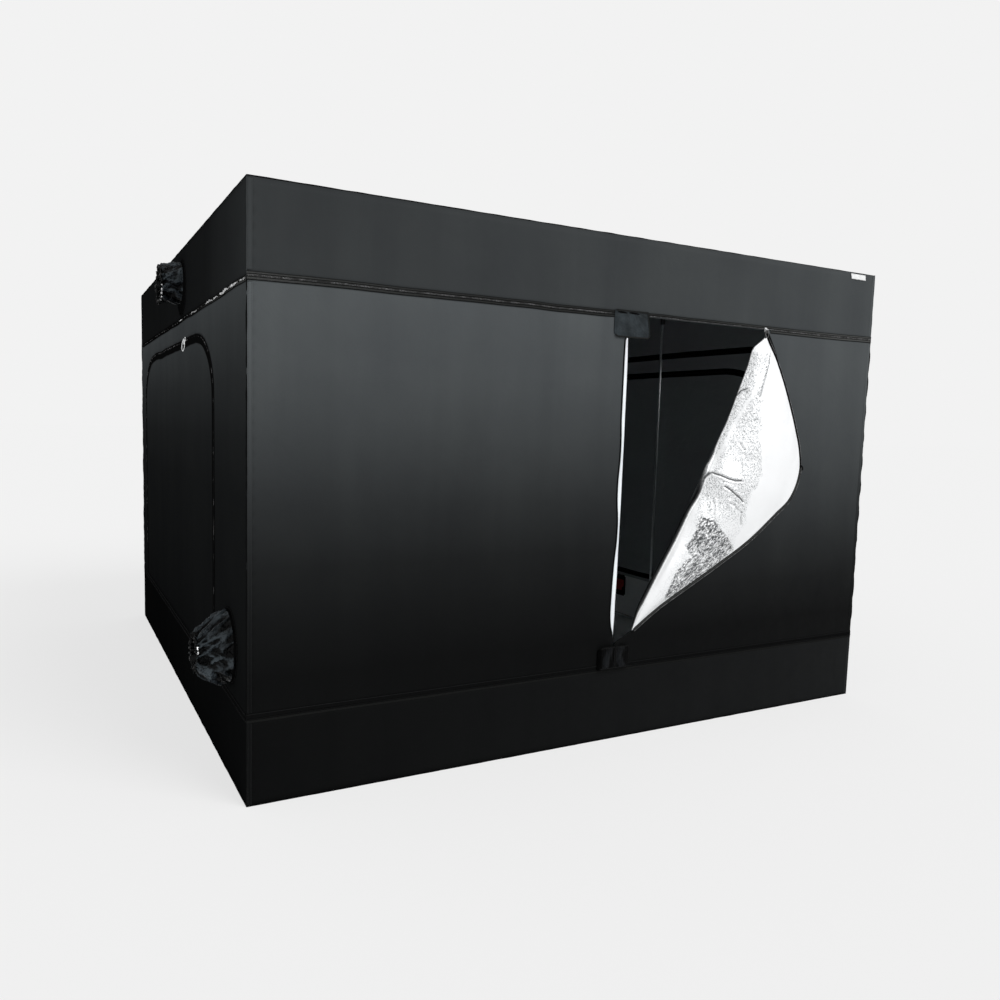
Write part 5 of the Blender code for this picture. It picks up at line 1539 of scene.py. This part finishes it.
def add_label():
    """The sewn patch at the top right of the front, which is bare."""
    low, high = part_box("blank_label")
    stand = FRONT - low.y + 0.0024
    corners = [(low.x + 0.007, low.z), (high.x + 0.0025, low.z), (high.x, high.z), (low.x, high.z)]
    patch = cloth_panel("blank_patch", "front", corners, (PATCH, PATCH), gap=0.003,
                        relief=lambda u, v, edge: stand + 0.0007 * smoothstep(edge / 0.004)
                        + 0.0005 * soft_noise(u, v, 0.03, 86, 2) * smoothstep(edge / 0.003))
    add_sheet(patch, "blank_label", "tent")
    piece = Piece()
    middle = np.mean(corners, axis=0)
    corners = [tuple(middle + (np.array(c) - middle) * (0.97, 0.87)) for c in corners]
    for start, end in zip(corners, corners[1:] + corners[:1]):
        piece.follow(wall_line("front", start, end, stand + 0.0007, 0.004))
        piece.stitch(0, 0, 0, 0.0028, (0.0020, 0.0006, 0.0004))
    piece.build("patch_stitches", (PATCH_THREAD,))


def add_pulls():
    """The loops that hang from the sliders, each in its CAD solid's place."""
    for name, side, mat in (("left_door_zip", "left", BRIGHT), ("right_door_zip", "right", BRIGHT),
                            ("top_zip", "front", DARK_METAL)):
        low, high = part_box(f"{name}_pull")
        across = np.array((1, 0, 0) if side == "front" else (0, 1, 0), float)
        out = np.array(OUTWARD[side], float)
        length = (high.z - low.z) * (1.25 if side != "front" else 0.8)
        middle = np.array([(low.x + high.x) / 2, (low.y + high.y) / 2, high.z - 0.006 - length / 2])
        t = np.linspace(0, 2 * pi, 41)
        path = (middle + np.cos(t)[:, None] * np.array((0, 0, length / 2)) + np.sin(t)[:, None] * across * 0.0046
                + out * (0.0022 + 0.0046 * np.sin(t) - 0.0020 * np.cos(t))[:, None])
        piece = Piece(path, unit(out - 0.5 * across))
        piece.cord(0, 0.0019, 0, -0.0019, 10)
        bar = path[[0, 0]] + np.array([(0, 0, -0.002), (0, 0, -length * 0.42)])
        piece.follow(np.linspace(*bar, 8)).tape(0, 0.0070, 0.0014, 0, -0.0007)
        obj = piece.build(f"{name}_pull_loop", (mat,), f"{name}_pull")
        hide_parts(f"{name}_pull")


def add_roof_seams():
    """The stitched tapes along the roof's edges."""
    x, y = RIGHT - 0.022, REAR - 0.022
    corners = [(-x, -y), (x, -y), (x, y), (-x, y)]
    piece = Piece(out=OUTWARD["roof"])
    for start, end in zip(corners, corners[1:] + corners[:1]):
        piece.follow(wall_line("roof", start, end, 0.0004)).tape(0, 0.022, 0.0008, 0, -0.0004)
        piece.stitch_both(1, 0.0085, 0.0003, 0.0050)
    piece.build("roof_edge_tape", (WALL_TAPE, STITCH_THREAD))


# Camera, light and the floor

def add_world():
    """A white surround that lights the object at a plain level."""
    world = bpy.data.worlds.new("studio")
    bpy.context.scene.world = world
    world.use_nodes = True
    nodes = Nodes(world.node_tree)
    light = world.node_tree.nodes["Background"]
    light.inputs["Color"].default_value = (1, 1, 1, 1)
    light.inputs["Strength"].default_value = AMBIENT
    seen = nodes.add("Background", {"Color": PAPER, "Strength": 1.0})
    mix = nodes.add("MixShader", {0: nodes.straight_rays(), 1: light.outputs[0], 2: seen.outputs[0]})
    nodes.feed(world.node_tree.nodes["World Output"].inputs["Surface"], mix.outputs[0])


def add_floor():
    """A pale floor that keeps a light shadow."""
    mesh = bpy.data.meshes.new("floor")
    mesh.from_pydata([(u, v, -0.001) for u, v in circle((0, 0), FLOOR_RADIUS, 64)], [], [tuple(range(64))])
    floor = bpy.data.objects.new("studio_floor", mesh)
    bpy.context.collection.objects.link(floor)
    f = Finish("studio_floor")
    f.set(colour=PAPER, roughness=1.0, specular=0.0)
    glow = f.add("Emission", {"Color": PAPER})
    share = f.math("MULTIPLY", f.straight_rays(), 1 - FLOOR_SHADOW_SHARE)
    mix = f.add("MixShader", {0: share, 1: f.shader.outputs[0], 2: glow.outputs[0]})
    f.feed(f.tree.nodes["Material Output"].inputs["Surface"], mix.outputs[0])
    mesh.materials.append(f.mat)


def add_lamp():
    """One soft key light from the front, above and to the right."""
    data = bpy.data.lights.new("key", "SUN")
    data.energy = SUN_STRENGTH
    data.angle = SUN_SPREAD
    lamp = bpy.data.objects.new("key", data)
    bpy.context.collection.objects.link(lamp)
    lamp.rotation_mode = "QUATERNION"
    lamp.rotation_quaternion = Vector(SUN_FROM).to_track_quat("Z", "Y")


def add_camera():
    """The photograph's view."""
    data = bpy.data.cameras.new("camera")
    data.sensor_width = 36
    data.lens = CAMERA_LENS
    data.shift_x, data.shift_y = CAMERA_SHIFT
    data.clip_end = 500
    camera = bpy.data.objects.new("camera", data)
    bpy.context.collection.objects.link(camera)
    a, e = CAMERA_AZIMUTH, CAMERA_ELEVATION
    back = Vector((sin(a) * cos(e), -cos(a) * cos(e), sin(e)))
    right = (-back).cross(Vector((0, 0, 1))).normalized()
    up = right.cross(-back)
    c, s = cos(CAMERA_ROLL), sin(CAMERA_ROLL)
    turned = Matrix((right * c + up * s, up * c - right * s, back)).transposed()
    camera.rotation_mode = "QUATERNION"
    camera.location = CAMERA_PLACE
    camera.rotation_quaternion = turned.to_quaternion()
    bpy.context.scene.camera = camera
    bpy.context.scene.view_settings.view_transform = "Standard"


# Finishes for the CAD nodes that are shown as they are

def paint(node, mat):
    """Gives a CAD node's object a finish."""
    for place in NODES[node].material_slots:
        place.link = "OBJECT"
        place.material = mat


def add_finishes():
    """Connectors, poles, sliders with their pulls, and cord locks."""
    for node in NODES:
        if node.startswith("corner_connector") or "mid_tee" in node:
            paint(node, PLASTIC)
        elif node.endswith(("_rail", "_post", "_bar")):
            paint(node, STEEL)
        elif node.endswith(("_slider", "_pull")):
            paint(node, BRIGHT)
        elif node.endswith("_cord_lock"):
            paint(node, LOCK_PLASTIC)


add_front()
add_sides()
add_roof_and_floor()
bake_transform(add_flap())
add_front_zips()
add_left_door_edge()
add_corner_piping()
add_edge_hems()
add_wall_bands()
add_side_door_zips()
add_sock("upper", 0.112, 0.082, 0.100, 301, (11, 0.012, 0.090, 0.022, 0.0, 1.1),
         ((3.34, 0.010), (3.55, 0.012), (3.76, 0.018), (3.98, 0.011), (4.22, 0.010)))
add_sock("lower", 0.122, 0.064, 0.125, 302, (13, 0.014, 0.124, 0.002, 0.022, 1.7), ((2.72, 0.011), (2.98, 0.007)))
add_tabs()
add_vent()
add_label()
add_pulls()
add_roof_seams()
add_finishes()
add_world()
add_floor()
add_lamp()
add_camera()
